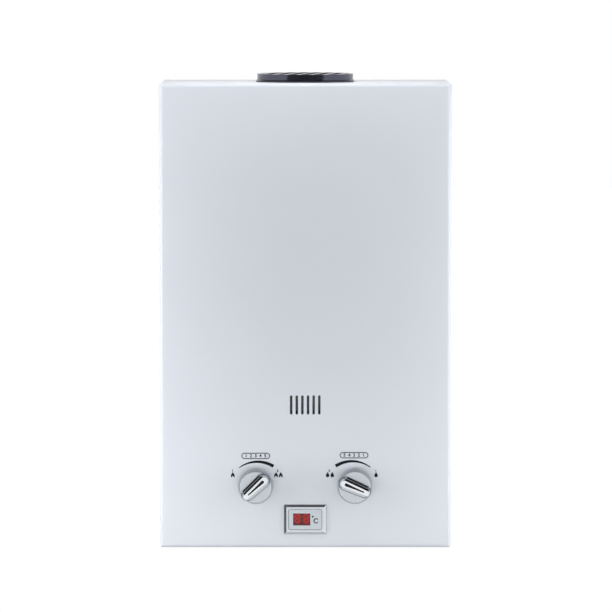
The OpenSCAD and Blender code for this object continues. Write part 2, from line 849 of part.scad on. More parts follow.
// Fin with a wavy lower edge and five tube holes, seen along the tubes
module fin_outline() {
  difference() {
    translate([axis_y - burner_depth / 2, tube_z - fin_h / 2]) square([burner_depth, fin_h]);
    for (i = [-2:2])
      translate([axis_y + i * tube_pitch, tube_z]) circle(d = tube_d + 2 * run);
    for (i = [-1.5:1.5])
      translate([axis_y + i * tube_pitch, tube_z - fin_h / 2]) circle(d = tube_pitch * 0.55);
  }
}

module exchanger_fins() {
  color(copper)
  for (i = [0:fin_count - 1])
    translate([-fin_span / 2 + i * fin_span / (fin_count - 1) - fin_t / 2, 0, 0])
      rotate([90, 0, 90]) linear_extrude(fin_t) fin_outline();
}

// One serpentine tube: in at the right rear, out at the left front
module exchanger_tubes() {
  turn_x = jacket_x + tube_stub + tube_pitch / 2 - 1;
  end_x = jacket_x + tube_stub;
  rows = [for (i = [2, 1, 0, -1, -2]) axis_y + i * tube_pitch];
  points = concat(
    [[end_x, rows[0], tube_z]],
    [for (i = [0:3])
      let (x = i % 2 == 0 ? -turn_x : turn_x)
      each [[x, rows[i], tube_z], [x, rows[i + 1], tube_z]]],
    [[-end_x, rows[4], tube_z]]
  );
  color(copper)
  hollow_pipe(points, tube_pitch / 2);
}

module sight_pane() {
  pane_t = 0.8;
  rim = 3;
  color("#cfc7a8")
  box([-window_x - rim, jacket_front - pane_t, window_low - rim],
    [window_x + rim, jacket_front, window_high + rim]);
}

// Bimetal switch on the jacket's left side
module overheat_thermostat() {
  disc_d = 24;
  disc_t = 1;
  can_d = 16;
  can_x = -jacket_x - 9;
  z = tube_z - fin_h / 2 - disc_d;
  color(black) {
    rod_x(disc_d, -jacket_x - disc_t, -jacket_x, axis_y, z);
    rod_x(can_d, can_x, -jacket_x - disc_t, axis_y, z);
    blades(can_x, axis_y, z);
  }
}

// Burner

// Frame under the jacket: ledges carry the bars, round holes let gas and air in
module burner_frame() {
  color(galvanised)
  difference() {
    box([-jacket_x, jacket_front, burner_z], [jacket_x, jacket_back, jacket_z]);
    box([jacket_t - jacket_x, jacket_front + jacket_t, burner_z + jacket_t],
      [jacket_x - jacket_t, jacket_back - jacket_t, jacket_z + over]);
    box([burner_ledge - jacket_x, jacket_front + burner_ledge, burner_z - over],
      [jacket_x - burner_ledge, jacket_back - burner_ledge, jacket_z]);
    for (i = [0:burner_count - 1])
      rod_y(mixer_d - 2, jacket_front - over, jacket_front + jacket_t + over,
        (i - (burner_count - 1) / 2) * burner_pitch, mixer_z);
  }
}

// End view of a burner bar: mixing tube, neck and head
module burner_section() {
  head_h = 14;
  translate([0, mixer_z]) circle(d = mixer_d);
  translate([-burner_neck_w / 2, mixer_z]) square([burner_neck_w, burner_top - mixer_z]);
  translate([0, burner_top - head_h / 2]) round_rect(burner_head_w, head_h, 3);
}

// Side view of a burner bar, with its row of flame slits
module burner_comb() {
  slit_w = 1.6;
  slit_h = 7;
  step = burner_depth / (slit_count + 1);
  difference() {
    translate([-burner_depth / 2, burner_z]) square([burner_depth, burner_top - burner_z]);
    for (i = [1:slit_count])
      translate([-burner_depth / 2 + i * step - slit_w / 2, burner_top - slit_h])
        square([slit_w, slit_h + over]);
  }
}

module burner_bars() {
  mouth_l = burner_depth * 0.8;
  color(chrome)
  for (i = [0:burner_count - 1])
    translate([(i - (burner_count - 1) / 2) * burner_pitch, axis_y, 0])
      difference() {
        intersection() {
          translate([0, burner_depth / 2, 0]) rotate([90, 0, 0]) linear_extrude(burner_depth) burner_section();
          translate([-mixer_d / 2, 0, 0]) rotate([90, 0, 90]) linear_extrude(mixer_d) burner_comb();
        }
        rod_y(mixer_d - 3, -burner_depth / 2 - over, -burner_depth / 2 + mouth_l, 0, mixer_z);
      }
}

// Cast manifold in front of the burner, with its leg on the gas valve
module gas_manifold() {
  leg_d = manifold_d - 1;
  color(cast)
  union() {
    translate([-manifold_x, manifold_y, mixer_z]) rotate([90, 0, 90]) linear_extrude(2 * manifold_x)
      round_rect(manifold_d, manifold_h, 2);
    rod_z(leg_d, knob_z + gas_top, mixer_z, gas_x, manifold_y);
  }
}

module gas_injectors() {
  hex_l = 2;
  hex_d = 9;
  body_d = 6;
  jet_d = 1.2;
  y = manifold_y + manifold_d / 2;
  color(brass)
  for (i = [0:burner_count - 1]) {
    x = (i - (burner_count - 1) / 2) * burner_pitch;
    difference() {
      union() {
        translate([x, y, mixer_z]) rotate([-90, 0, 0]) cylinder(d = hex_d, h = hex_l, $fn = 6);
        rod_y(body_d, y, y + injector_l, x, mixer_z);
      }
      rod_y(jet_d, y - over, y + injector_l + over, x, mixer_z);
    }
  }
}

// Ignition

module electrode_bracket() {
  color(chrome)
  difference() {
    box([electrode_x[0] - 11, jacket_front - bracket_t, electrode_z - 9],
      [electrode_x[1] + 11, jacket_front, electrode_z + 12]);
    for (x = electrode_x)
      rod_y(insulator_d + 2 * fit, jacket_front - bracket_t - over, jacket_front + over, x, electrode_z);
  }
}

// Ceramic sleeves with a collar that rests on the bracket
module electrode_insulators() {
  collar_t = 3;
  y = jacket_front - bracket_t;
  color("#ece8dd")
  for (x = electrode_x)
    difference() {
      union() {
        rod_y(insulator_d, jacket_front - insulator_out, jacket_front + insulator_in, x, electrode_z);
        rod_y(insulator_d + 4, y - collar_t, y, x, electrode_z);
      }
      rod_y(wire_d + 2 * run, jacket_front - insulator_out - over, jacket_front + insulator_in + over,
        x, electrode_z);
    }
}

module electrode_wires() {
  tip = 14;
  color(chrome)
  for (x = electrode_x)
    rod_y(wire_d, jacket_front - insulator_out - wire_out, jacket_front + insulator_in + tip, x, electrode_z);
}

// Potted box on the back plate, with two screw ears
module igniter_box() {
  lug_t = 2.5;
  lug_hole_d = 4.4;
  color(black)
  difference() {
    union() {
      panel(igniter_w, igniter_h, 3, floor_back - igniter_d, floor_back, igniter_x, igniter_z + igniter_h / 2);
      panel(igniter_w * 0.6, igniter_h + 4 * lug_l, 3, floor_back - lug_t, floor_back,
        igniter_x, igniter_z + igniter_h / 2);
    }
    for (s = [-1, 1])
      rod_y(lug_hole_d, floor_back - lug_t - over, floor_back + over,
        igniter_x, igniter_z + igniter_h / 2 + s * (igniter_h / 2 + lug_l));
  }
}

module ignition_leads() {
  color("#b5423a")
  for (route = lead_routes)
    wire(curve(route, 3), lead_d, 8, [0.37, 0.21, 0.9]);
}

// Gas valve

// Cast body: plunger chamber across, gland to the knob, arm to the manifold
module gas_valve_body() {
  arm_w = 18;
  arm_h = 15;
  corner = 4;
  color(cast)
  difference() {
    union() {
      translate([gas_x, valve_axis_y, valve_bottom]) linear_extrude(valve_low + gas_top)
        round_rect(gas_w, gas_depth, corner);
      rod_y(gland_d, gland_y, gas_front + over, gas_x, knob_z);
      translate([gas_x, 0, knob_z + gas_top - arm_h]) linear_extrude(arm_h)
        front_rounded(arm_w, manifold_y - manifold_d / 2, gas_front + corner, corner);
    }
    rod_x(chamber_d, gas_left - over, gas_right - chamber_wall, valve_axis_y, knob_z);
    rod_x(rod_d + 2 * run, gas_right - chamber_wall - over, gas_right + over, valve_axis_y, knob_z);
    rod_y(spindle_d + 2 * run, gland_y - over, gas_bore_y, gas_x, knob_z);
    rod_z(manifold_d - 4, knob_z + gas_top - arm_h / 2, knob_z + gas_top + over, gas_x, manifold_y);
  }
}

// Solenoid: a nose in the chamber, a flange on the body, a coil and its terminals
module gas_solenoid() {
  flange_t = 3;
  color(black) {
    rod_x(chamber_d - 2 * fit, gas_left, gas_left + solenoid_nose, valve_axis_y, knob_z);
    rod_x(coil_d + 6, gas_left - flange_t, gas_left, valve_axis_y, knob_z);
    rod_x(coil_d, gas_left - coil_l, gas_left - flange_t, valve_axis_y, knob_z);
    blades(gas_left - coil_l, valve_axis_y, knob_z);
  }
}

module gas_plunger() {
  color(brass)
  rod_x(chamber_d - 4, plunger_x - plunger_t, plunger_x, valve_axis_y, knob_z);
}

module plunger_spring() {
  turns = 7;
  wire_t = 1.4;
  spring_r = chamber_d / 2 - 4;
  from = gas_left + solenoid_nose + fit + wire_t / 2;
  to = plunger_x - plunger_t - fit - wire_t / 2;
  color(chrome)
  translate([from, valve_axis_y, knob_z]) rotate([0, 90, 0])
    wire(coil(turns, spring_r, to - from), wire_t, 6, [0, 0, 1]);
}

// Threaded stub: a hexagon on the floor, a neck through it, the thread below
module stub(x, top) {
  color(brass)
  difference() {
    union() {
      rod_z(stub_body_d, floor_top, top, x, valve_axis_y);
      translate([x, valve_axis_y, floor_top]) cylinder(d = stub_flange_d, h = stub_flange_t, $fn = 6);
      rod_z(neck_d, floor_z - neck_l, floor_top, x, valve_axis_y);
      rod_z(thread_d, stub_end, floor_z - neck_l, x, valve_axis_y);
    }
    rod_z(stub_bore, stub_end - over, top + over, x, valve_axis_y);
  }
}

module gas_inlet() {
  stub(gas_x, valve_bottom);
}

module cold_inlet() {
  stub(water_x, valve_bottom);
}

module hot_outlet() {
  stub(hot_x, hot_joint_z);
}

// Water valve

// Brass body: diaphragm flange, barrel, gland to the knob, inlet and outlet bosses
module water_valve_body() {
  depth = water_flange_t * 0.6;
  color(brass)
  difference() {
    union() {
      rod_x(diaphragm_d, diaphragm_x, barrel_left, valve_axis_y, knob_z);
      rod_x(barrel_d, barrel_left - over, barrel_right, valve_axis_y, knob_z);
      rod_x(stub_body_d, barrel_right - over, barrel_right + water_boss_l, valve_axis_y, knob_z);
      rod_y(gland_d, gland_y, valve_axis_y, water_x, knob_z);
      rod_z(stub_body_d, valve_bottom, knob_z, water_x, valve_axis_y);
      rod_z(water_flange_t, drain_top, knob_z - diaphragm_d / 4, drain_x, valve_axis_y);
    }
    rod_x(pressure_d, diaphragm_x - over, diaphragm_x + depth, valve_axis_y, knob_z);
    rod_y(spindle_d + 2 * run, gland_y - over, water_bore_y, water_x, knob_z);
    rod_x(tube_d - 2 * tube_t, barrel_right - 8, barrel_right + water_boss_l + over, valve_axis_y, knob_z);
    rod_z(stub_bore, valve_bottom - over, valve_bottom + 10, water_x, valve_axis_y);
    rod_z(drain_thread_d + 2 * run, drain_top - over, drain_top + 11, drain_x, valve_axis_y);
  }
}

module diaphragm() {
  color(black)
  rod_x(diaphragm_d, diaphragm_x - diaphragm_t, diaphragm_x, valve_axis_y, knob_z);
}

// Cover over the dry side of the diaphragm, with six screw bosses round it
module diaphragm_cover() {
  wall = 3.5;
  rim_t = 5;
  boss_d = 2 * wall;
  color(cast)
  difference() {
    union() {
      rod_x(diaphragm_d, diaphragm_x - diaphragm_t - rim_t, diaphragm_x - diaphragm_t, valve_axis_y, knob_z);
      rod_x(pressure_d + 4, diaphragm_cover_x, diaphragm_x - diaphragm_t, valve_axis_y, knob_z);
      for (i = [0:5])
        rod_x(boss_d, diaphragm_cover_x + wall, diaphragm_x - diaphragm_t,
          valve_axis_y + cos(60 * i) * (diaphragm_d / 2 - 4), knob_z + sin(60 * i) * (diaphragm_d / 2 - 4));
    }
    rod_x(pressure_d - 4, diaphragm_cover_x + wall, diaphragm_x, valve_axis_y, knob_z);
    rod_x(rod_d + 2 * run, diaphragm_cover_x - over, diaphragm_x, valve_axis_y, knob_z);
  }
}

// Push rod: a plate at the diaphragm and a cam cone under the switch lever
module push_rod() {
  color(brass)
  union() {
    rod_x(rod_d, plunger_x, rod_end, valve_axis_y, knob_z);
    rod_x(rod_plate_d, rod_end - rod_plate_t, rod_end, valve_axis_y, knob_z);
    translate([cam_x, valve_axis_y, knob_z]) rotate([0, 90, 0]) cylinder(r1 = rod_d / 2, r2 = cam_r, h = cam_l);
    rod_x(2 * cam_r, cam_x + cam_l, cam_x + cam_l + cam_ring, valve_axis_y, knob_z);
  }
}

module drain_plug() {
  head_h = 7;
  head_z = floor_z - 2 - head_h;
  color(black)
  union() {
    rod_z(drain_d + 3, head_z, head_z + head_h, drain_x, valve_axis_y);
    rod_z(drain_d, head_z, drain_top, drain_x, valve_axis_y);
    rod_z(drain_thread_d, head_z, drain_top + 9, drain_x, valve_axis_y);
  }
}

// Pipe from the water valve up to the exchanger, with a step towards the wall
module riser_pipe() {
  step_z = jacket_z + jacket_h * 0.3;
  color(copper)
  hollow_pipe([
    [barrel_right + water_boss_l, valve_axis_y, knob_z],
    [pipe_x, valve_axis_y, knob_z],
    [pipe_x, valve_axis_y, step_z],
    [pipe_x, tube_back_y, step_z],
    [pipe_x, tube_back_y, tube_z],
    [jacket_x + tube_stub, tube_back_y, tube_z]
  ], min(pipe_bend, (tube_back_y - valve_axis_y) / 2));
}

// Pipe from the exchanger down to the hot outlet, with a step towards the wall
module hot_pipe() {
  step_z = jacket_z - jacket_h * 0.12;
  color(copper)
  hollow_pipe([
    [-jacket_x - tube_stub, tube_front_y, tube_z],
    [-pipe_x, tube_front_y, tube_z],
    [-pipe_x, tube_front_y, step_z],
    [-pipe_x, valve_axis_y, step_z],
    [-pipe_x, valve_axis_y, hot_joint_z]
  ], min(pipe_bend, (valve_axis_y - tube_front_y) / 2));
}

// Switch between the valves

module switch_bracket() {
  strap_t = 1.2;
  strap_hole_d = 4.2;
  z = knob_z + gas_top;
  color(galvanised)
  difference() {
    box([gas_right - 14, valve_axis_y - switch_w, z], [switch_x + 10, valve_axis_y + switch_w, z + strap_t]);
    rod_z(strap_hole_d, z - over, z + strap_t + over, gas_right - 8, valve_axis_y + 5);
  }
}

// Switch body under its bracket, with two ears and the lever's pin
module microswitch() {
  ear_t = 1.6;
  color(black)
  union() {
    box([switch_x - 16, valve_axis_y - switch_w / 2, switch_z],
      [switch_x + 8, valve_axis_y + switch_w / 2, knob_z + gas_top]);
    for (s = [-1, 1])
      box([lever_x - 2, valve_axis_y + s * (switch_w - ear_t) / 2 - ear_t / 2, lever_z - 2],
        [lever_x + 2, valve_axis_y + s * (switch_w - ear_t) / 2 + ear_t / 2, switch_z]);
    rod_y(lever_pin_d, valve_axis_y - switch_w / 2, valve_axis_y + switch_w / 2, lever_x, lever_z);
  }
}

// Lever with an eye on the pin and a round end that follows the cam
module switch_lever() {
  half = switch_w / 2 - 2;
  eye_d = lever_pin_d + 2;
  arm = [switch_x - lever_x, roller_z - lever_z];
  arm_t = 1;
  arm_half = half - 0.6;
  color(chrome)
  difference() {
    union() {
      rod_y(eye_d, valve_axis_y - half, valve_axis_y + half, lever_x, lever_z);
      rod_y(2 * roller_r, valve_axis_y - half, valve_axis_y + half, switch_x, roller_z);
      translate([lever_x, valve_axis_y, lever_z]) rotate([0, -atan2(arm[1], arm[0]), 0])
        box([0, -arm_half, -arm_t / 2], [norm(arm), arm_half, arm_t / 2]);
    }
    rod_y(lever_pin_d + 2 * run, valve_axis_y - half - over, valve_axis_y + half + over, lever_x, lever_z);
  }
}

// Battery box

// Moulded box for two upright cells, open below, with hinge ears through the floor
module battery_box() {
  rim = 2;
  rim_t = 1.6;
  color(black)
  difference() {
    union() {
      translate([0, 0, floor_top]) linear_extrude(box_roof + box_t - floor_top) cell_pair(box_d);
      translate([0, 0, floor_top]) linear_extrude(rim_t) cell_pair(box_d + 2 * rim);
      for (s = [-1, 1]) {
        box([box_x + s * ear_x - ear_t / 2, hinge_y - ear_half, hinge_z],
          [box_x + s * ear_x + ear_t / 2, hinge_y + ear_half, floor_top + rim_t]);
        rod_x(2 * ear_half, box_x + s * ear_x - ear_t / 2, box_x + s * ear_x + ear_t / 2, hinge_y, hinge_z);
      }
    }
    translate([0, 0, floor_top - over]) linear_extrude(box_roof - floor_top + over) cell_pair(cell_bore);
    rod_x(door_pin_d + 2 * run, box_x - ear_x - ear_t, box_x + ear_x + ear_t, hinge_y, hinge_z);
  }
}

module battery_cells() {
  cap_d = 10;
  cap_h = 1.6;
  color("#3d5a80")
  for (s = [-1, 1]) {
    x = box_x + s * cell_pitch / 2;
    top = cell_z + cell_l - cap_h;
    rod_z(cell_d, cell_z, top, x, box_y);
    rod_z(cap_d, top, top + cap_h, x, box_y);
  }
}

module battery_springs() {
  wire_t = 1.2;
  from = cell_z + cell_l + fit + wire_t / 2;
  to = box_roof - fit - wire_t / 2;
  color(chrome)
  for (s = [-1, 1])
    translate([box_x + s * cell_pitch / 2, box_y, from])
      wire(coil(3, 6, to - from), wire_t, 6, [0, 0, 1]);
}

// Door under the cells, with a finger tab at the front and a knuckle on the pin
module battery_door() {
  edge = 2;
  tab = 2;
  tab_half = 9;
  top = floor_z - fit;
  knuckle = ear_x - ear_t / 2 - fit;
  color(black)
  difference() {
    union() {
      translate([0, 0, top - door_t]) linear_extrude(door_t) cell_pair(cell_bore + 2 * edge);
      box([box_x - tab_half, box_y - cell_bore / 2 - edge - tab, top - door_t], [box_x + tab_half, box_y, top]);
      box([box_x - knuckle, box_y, top - door_t], [box_x + knuckle, hinge_y, top]);
      rod_x(knuckle_d, box_x - knuckle, box_x + knuckle, hinge_y, hinge_z);
    }
    rod_x(door_pin_d + 2 * run, box_x - knuckle - over, box_x + knuckle + over, hinge_y, hinge_z);
    for (s = [-1, 1])
      box([box_x + s * ear_x - ear_t / 2 - fit, hinge_y - ear_half - fit, top - door_t - over],
        [box_x + s * ear_x + ear_t / 2 + fit, hinge_y + ear_half, top + over]);
  }
}

module door_contact() {
  strip_t = 0.4;
  color(chrome)
  box([box_x - cell_pitch * 0.7, box_y - 5, floor_z - fit],
    [box_x + cell_pitch * 0.7, box_y + 5, floor_z - fit + strip_t]);
}

module door_pin() {
  color(chrome)
  rod_x(door_pin_d, box_x - ear_x - ear_t / 2, box_x + ear_x + ear_t / 2, hinge_y, hinge_z);
}

// Display

// Bezel with sloped borders, a ledge for the plate and a sleeve through the panel
module display_bezel() {
  color(chrome)
  difference() {
    union() {
      sloped_block(bezel_w, bezel_h, y_front - bezel_out, y_front, bezel_slope, display_z);
      panel(sleeve_w, sleeve_h, plate_r, y_front - over, y_in + sleeve_l, 0, display_z);
    }
    panel(plate_w, plate_h, plate_r, y_front - bezel_out - over, plate_y + plate_t, 0, display_z);
    panel(plate_w - 2 * plate_ledge, plate_h - 2 * plate_ledge, plate_r - plate_ledge,
      y_front - bezel_out - over, y_in + sleeve_l + over, 0, display_z);
  }
}

module display_plate() {
  color("#c9cdd2")
  difference() {
    panel(plate_w - 2 * fit, plate_h - 2 * fit, plate_r, plate_y, plate_y + plate_t, 0, display_z);
    box([-window_left - window_w / 2, plate_y - over, display_z - window_h / 2],
      [window_w / 2 - window_left, plate_y + plate_t + over, display_z + window_h / 2]);
  }
}

module display_window() {
  color("#5a0d10")
  box([-window_left - window_w / 2 + run, plate_y + 0.1, display_z - window_h / 2 + run],
    [window_w / 2 - window_left - run, block_y - segment_t - 0.1, display_z + window_h / 2 - run]);
}

// Bar with pointed ends, one segment of a digit, lying along x
module segment(l) {
  s = segment_w / 2;
  polygon([[-l / 2, 0], [s - l / 2, s], [l / 2 - s, s], [l / 2, 0], [l / 2 - s, -s], [s - l / 2, -s]]);
}

// Seven segments of one digit, seen from the front
module digit() {
  gap = 0.3;
  across = digit_w - segment_w - gap;
  up = (digit_h - segment_w) / 2 - gap;
  step = (digit_h - segment_w) / 2;
  for (k = [-1, 0, 1])
    translate([0, k * step]) segment(across);
  for (sx = [-1, 1], sz = [-1, 1])
    translate([sx * (digit_w - segment_w) / 2, sz * step / 2]) rotate(90) segment(up);
}

module display_segments() {
  color("#ff2a1c")
  for (s = [-1, 1])
    translate([s * digit_step / 2 - window_left, block_y, display_z])
      rotate([90, 0, 0]) linear_extrude(segment_t) digit();
}

module digit_block() {
  margin = 0.6;
  color(black)
  box([-window_left - window_w / 2 + margin, block_y, display_z - window_h / 2 + margin],
    [window_w / 2 - window_left - margin, board_y, display_z + window_h / 2 - margin]);
}

module display_board() {
  color("#2f6b3c")
  panel(housing_w - 2 * housing_t - 2 * fit, housing_h - 2 * housing_t - 2 * fit, plate_r, board_y,
    board_y + board_t, 0, display_z);
}

// Housing clipped over the bezel's sleeve, with a ledge for the board
module display_housing() {
  back = y_in + housing_d;
  color(black)
  difference() {
    panel(housing_w, housing_h, plate_r + housing_t, y_in, back, 0, display_z);
    panel(housing_w - 2 * housing_t, housing_h - 2 * housing_t, plate_r, y_in - over, board_y + board_t + fit,
      0, display_z);
    panel(housing_w - 2 * housing_t - 4, housing_h - 2 * housing_t - 4, 1, y_in - over, back - housing_t,
      0, display_z);
  }
}

// Knobs, drawn with the panel at z = 0 and the viewer at +z, pointer towards +y

module at_knob(x, turn) {
  translate([x, y_front, knob_z]) rotate([90, 0, 0]) rotate([0, 0, -turn]) children();
}

// Drop-shaped slice of the grip bar from z0 to z1, drawn in by in0 below and in1 above
module grip_slice(z0, z1, in0, in1) {
  translate([0, grip_front, z0])
    cylinder(r1 = grip_w / 2 - in0, r2 = grip_w / 2 - in1, h = z1 - z0, $fn = 32);
  translate([0, -grip_tail, z0])
    cylinder(r1 = grip_tail_w / 2 - in0, r2 = grip_tail_w / 2 - in1, h = z1 - z0, $fn = 32);
}

// Grip bar: wide at the pointer, narrow at the tail, with a foot, steep flanks and a bevelled top
module grip_bar() {
  z = knob_gap + skirt_h;
  neck = grip_foot + grip_flank;
  hull() {
    grip_slice(z - face_t, z, 0, 0);
    grip_slice(z, z + grip_foot, 0, grip_foot);
  }
  hull() {
    grip_slice(z + grip_foot - 0.1, z + grip_h - grip_bevel, grip_foot, neck);
    grip_slice(z + grip_h - grip_bevel, z + grip_h, neck, neck + grip_bevel);
  }
}

module pointer_shape(clear, t) {
  hull() {
    translate([0, pointer_end - pointer_r, 0]) cylinder(r = pointer_r - clear, h = t, $fn = 32);
    translate([0, pointer_end - pointer_l, 0]) cylinder(r = pointer_tail_r - clear, h = t, $fn = 32);
  }
}

// Hollow skirt with a hub on the spindle, topped by the grip bar
module knob() {
  draft = 0.7;
  edge = 0.8;
  z0 = knob_gap;
  z1 = knob_gap + skirt_h;
  web = 3;
  color(chrome)
  difference() {
    union() {
      rotate_extrude()
        polygon([
          [0, z1 - web], [face_r - skirt_t, z1 - web], [knob_r - skirt_t, z0], [knob_r, z0],
          [knob_r - draft, z1 - edge], [knob_r - draft - edge, z1], [face_r - draft, z1],
          [face_r - draft, z1 - face_t], [0, z1 - face_t]
        ]);
      translate([0, 0, z0]) cylinder(d = hub_d, h = z1 - web - z0 + over);
      grip_bar();
    }
    translate([0, 0, z0 - over]) cylinder(d = spindle_d + 2 * run, h = spindle_seat + over);
    translate([0, 0, z1 + grip_h - pointer_t]) pointer_shape(0, pointer_t + over);
  }
}

// Satin plate round the grip bar, in the knob's shallow recess
module knob_face() {
  draft = 0.7;
  z1 = knob_gap + skirt_h;
  color("#cfd6de")
  difference() {
    translate([0, 0, z1 - face_t]) cylinder(r = face_r - draft - fit, h = face_t);
    hull() {
      translate([0, grip_front, z1 - face_t - over])
        cylinder(d = grip_w + 2 * fit, h = face_t + 2 * over, $fn = 32);
      translate([0, -grip_tail, z1 - face_t - over])
        cylinder(d = grip_tail_w + 2 * fit, h = face_t + 2 * over, $fn = 32);
    }
  }
}

module knob_pointer() {
  color(black)
  translate([0, 0, knob_gap + skirt_h + grip_h - pointer_t]) pointer_shape(run, pointer_t);
}

// Spindle from the knob's hub to the foot of the valve's bore
module spindle(bore_y) {
  color(brass)
  translate([0, 0, y_front - bore_y + fit])
    cylinder(d = spindle_d, h = knob_gap + spindle_seat - fit - (y_front - bore_y + fit));
}

module temperature_knob() {
  at_knob(gas_x, temperature_turn) knob();
}

module temperature_face() {
  at_knob(gas_x, temperature_turn) knob_face();
}

module temperature_pointer() {
  at_knob(gas_x, temperature_turn) knob_pointer();
}

module temperature_spindle() {
  at_knob(gas_x, temperature_turn) spindle(gas_bore_y);
}

module flow_knob() {
  at_knob(water_x, flow_turn) knob();
}

module flow_face() {
  at_knob(water_x, flow_turn) knob_face();
}

module flow_pointer() {
  at_knob(water_x, flow_turn) knob_pointer();
}

module flow_spindle() {
  at_knob(water_x, flow_turn) spindle(water_bore_y);
}

front_cover();
back_plate();
bottom_plate();
stack_brackets();
cover_screws();
flue_collar();
flue_guard();
flue_hood();
exchanger_jacket();
exchanger_fins();
exchanger_tubes();
sight_pane();
overheat_thermostat();
burner_frame();
burner_bars();
gas_manifold();
gas_injectors();
electrode_bracket();
electrode_insulators();
electrode_wires();
igniter_box();
ignition_leads();
gas_valve_body();
gas_solenoid();
gas_plunger();
plunger_spring();
gas_inlet();
water_valve_body();
diaphragm();
diaphragm_cover();
push_rod();
cold_inlet();
drain_plug();
riser_pipe();
hot_pipe();
hot_outlet();
microswitch();
switch_bracket();
switch_lever();
battery_box();
battery_cells();
battery_springs();
battery_door();
door_contact();
door_pin();
display_bezel();
display_plate();
display_window();
display_segments();
digit_block();
display_board();
display_housing();
temperature_knob();
temperature_face();
temperature_pointer();
temperature_spindle();
flow_knob();
flow_face();
flow_pointer();
flow_spindle();
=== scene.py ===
# %% [markdown]
# # A wall-hung gas water heater
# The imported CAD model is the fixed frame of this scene: every piece below sits in its
# metres and rides on one of its bodies. The lesson sets up the camera first, then the
# finishes and the light, and last it builds the pieces that need finer forms than the
# solids have.

# %% Load the frame
import json
import math

import bmesh
import bpy
from mathutils import Matrix, Vector


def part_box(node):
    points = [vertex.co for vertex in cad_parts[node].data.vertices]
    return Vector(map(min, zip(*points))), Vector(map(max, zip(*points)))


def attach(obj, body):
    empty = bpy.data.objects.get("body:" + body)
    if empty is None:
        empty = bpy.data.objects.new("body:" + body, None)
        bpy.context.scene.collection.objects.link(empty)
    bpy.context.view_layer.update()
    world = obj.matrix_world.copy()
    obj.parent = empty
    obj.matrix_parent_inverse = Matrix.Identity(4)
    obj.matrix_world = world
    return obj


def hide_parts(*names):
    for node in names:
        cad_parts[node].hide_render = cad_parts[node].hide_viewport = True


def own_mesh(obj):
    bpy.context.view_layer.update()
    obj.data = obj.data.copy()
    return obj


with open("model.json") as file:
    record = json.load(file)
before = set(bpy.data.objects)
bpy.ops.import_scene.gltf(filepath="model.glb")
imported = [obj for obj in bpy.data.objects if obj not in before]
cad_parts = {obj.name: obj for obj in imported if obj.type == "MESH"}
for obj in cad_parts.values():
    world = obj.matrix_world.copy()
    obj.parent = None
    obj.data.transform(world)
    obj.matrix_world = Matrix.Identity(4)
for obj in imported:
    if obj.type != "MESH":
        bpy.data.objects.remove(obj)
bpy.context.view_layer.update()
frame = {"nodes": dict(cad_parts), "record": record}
nodes = frame["nodes"]
MM = 0.001

# %% [markdown]
# ## Camera
# The photograph was taken with a long lens from a little above the casing, so the front
# panel stays almost square and only a sliver of the top shows. A short lens close by would
# make the edges run apart. The camera therefore stands almost five metres away and looks
# down by a few degrees.

# %% Camera
CAMERA_SIDE, CAMERA_DISTANCE, CAMERA_HEIGHT = 0.0009, 4.9, 0.405
CAMERA_TILT = math.radians(4.586)
CAMERA_LENS_MM, SENSOR_MM = 254.6, 36
FAR_CLIP = 50

scene = bpy.context.scene
panel_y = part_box("front_cover")[0].y
camera_data = bpy.data.cameras.new("studio_camera")
camera_data.lens = CAMERA_LENS_MM
camera_data.sensor_width = SENSOR_MM
camera_data.clip_end = FAR_CLIP
camera = bpy.data.objects.new("studio_camera", camera_data)
camera.location = (CAMERA_SIDE, panel_y - CAMERA_DISTANCE, CAMERA_HEIGHT)
camera.rotation_euler = (math.radians(90) - CAMERA_TILT, 0, 0)
scene.collection.objects.link(camera)
scene.camera = camera
scene.view_settings.view_transform = "Standard"
print("camera stands", CAMERA_DISTANCE, "m in front of the panel")

# %% [markdown]
# ## Colours and nodes
# Blender's shaders work in linear light, while colours are usually written as sRGB hex
# codes, so one function converts them. A second small function adds a shader node, sets
# its values and joins its links, which keeps every material below to a few lines.


# %% Helpers for materials
def linear(code):
    """An sRGB hex code as the linear colour that a shader socket takes."""
    parts = [int(code[i:i + 2], 16) / 255 for i in (1, 3, 5)]
    return (*[c / 12.92 if c <= 0.04045 else ((c + 0.055) / 1.055) ** 2.4 for c in parts], 1.0)


def add_node(tree, kind, values=None, links=None, into=None, **settings):
    """Add a node with its settings and socket values, link what feeds it and what it feeds."""
    node = tree.nodes.new(kind)
    for name, value in settings.items():
        setattr(node, name, value)
    for socket, value in (values or {}).items():
        node.inputs[socket].default_value = value
    for socket, output in (links or {}).items():
        tree.links.new(output, node.inputs[socket])
    for output, socket in (into or {}).items():
        tree.links.new(node.outputs[output], socket)
    return node


def start_material(name, colour, **values):
    """A material with one Principled shader: it, its tree, the shader, Object coordinates."""
    material = bpy.data.materials.new(name)
    material.use_nodes = True
    material.diffuse_color = linear(colour)
    tree = material.node_tree
    shader = tree.nodes["Principled BSDF"]
    shader.inputs["Base Color"].default_value = linear(colour)
    for socket, value in values.items():
        shader.inputs[socket.replace("_", " ")].default_value = value
    where = add_node(tree, "ShaderNodeTexCoord").outputs["Object"]
    return material, tree, shader, where


print("material helpers are ready")

# %% [markdown]
# ## One recipe for most finishes
# No real surface has one flat colour. A baked, cast or moulded skin drifts between two
# tones in soft patches, and a finer grain changes its gloss and its relief. Pictures of a
# surface could show that, but two noises on Object coordinates need no files and keep
# their real size in millimetres on every piece.

# %% Recipe of patches and grain
MIX_FACTOR, MIX_A, MIX_B, MIX_RESULT = 0, 6, 7, 2  # sockets of a Mix node for colours
GRAIN_DETAIL = 3
RELIEF_STRENGTH = 0.6


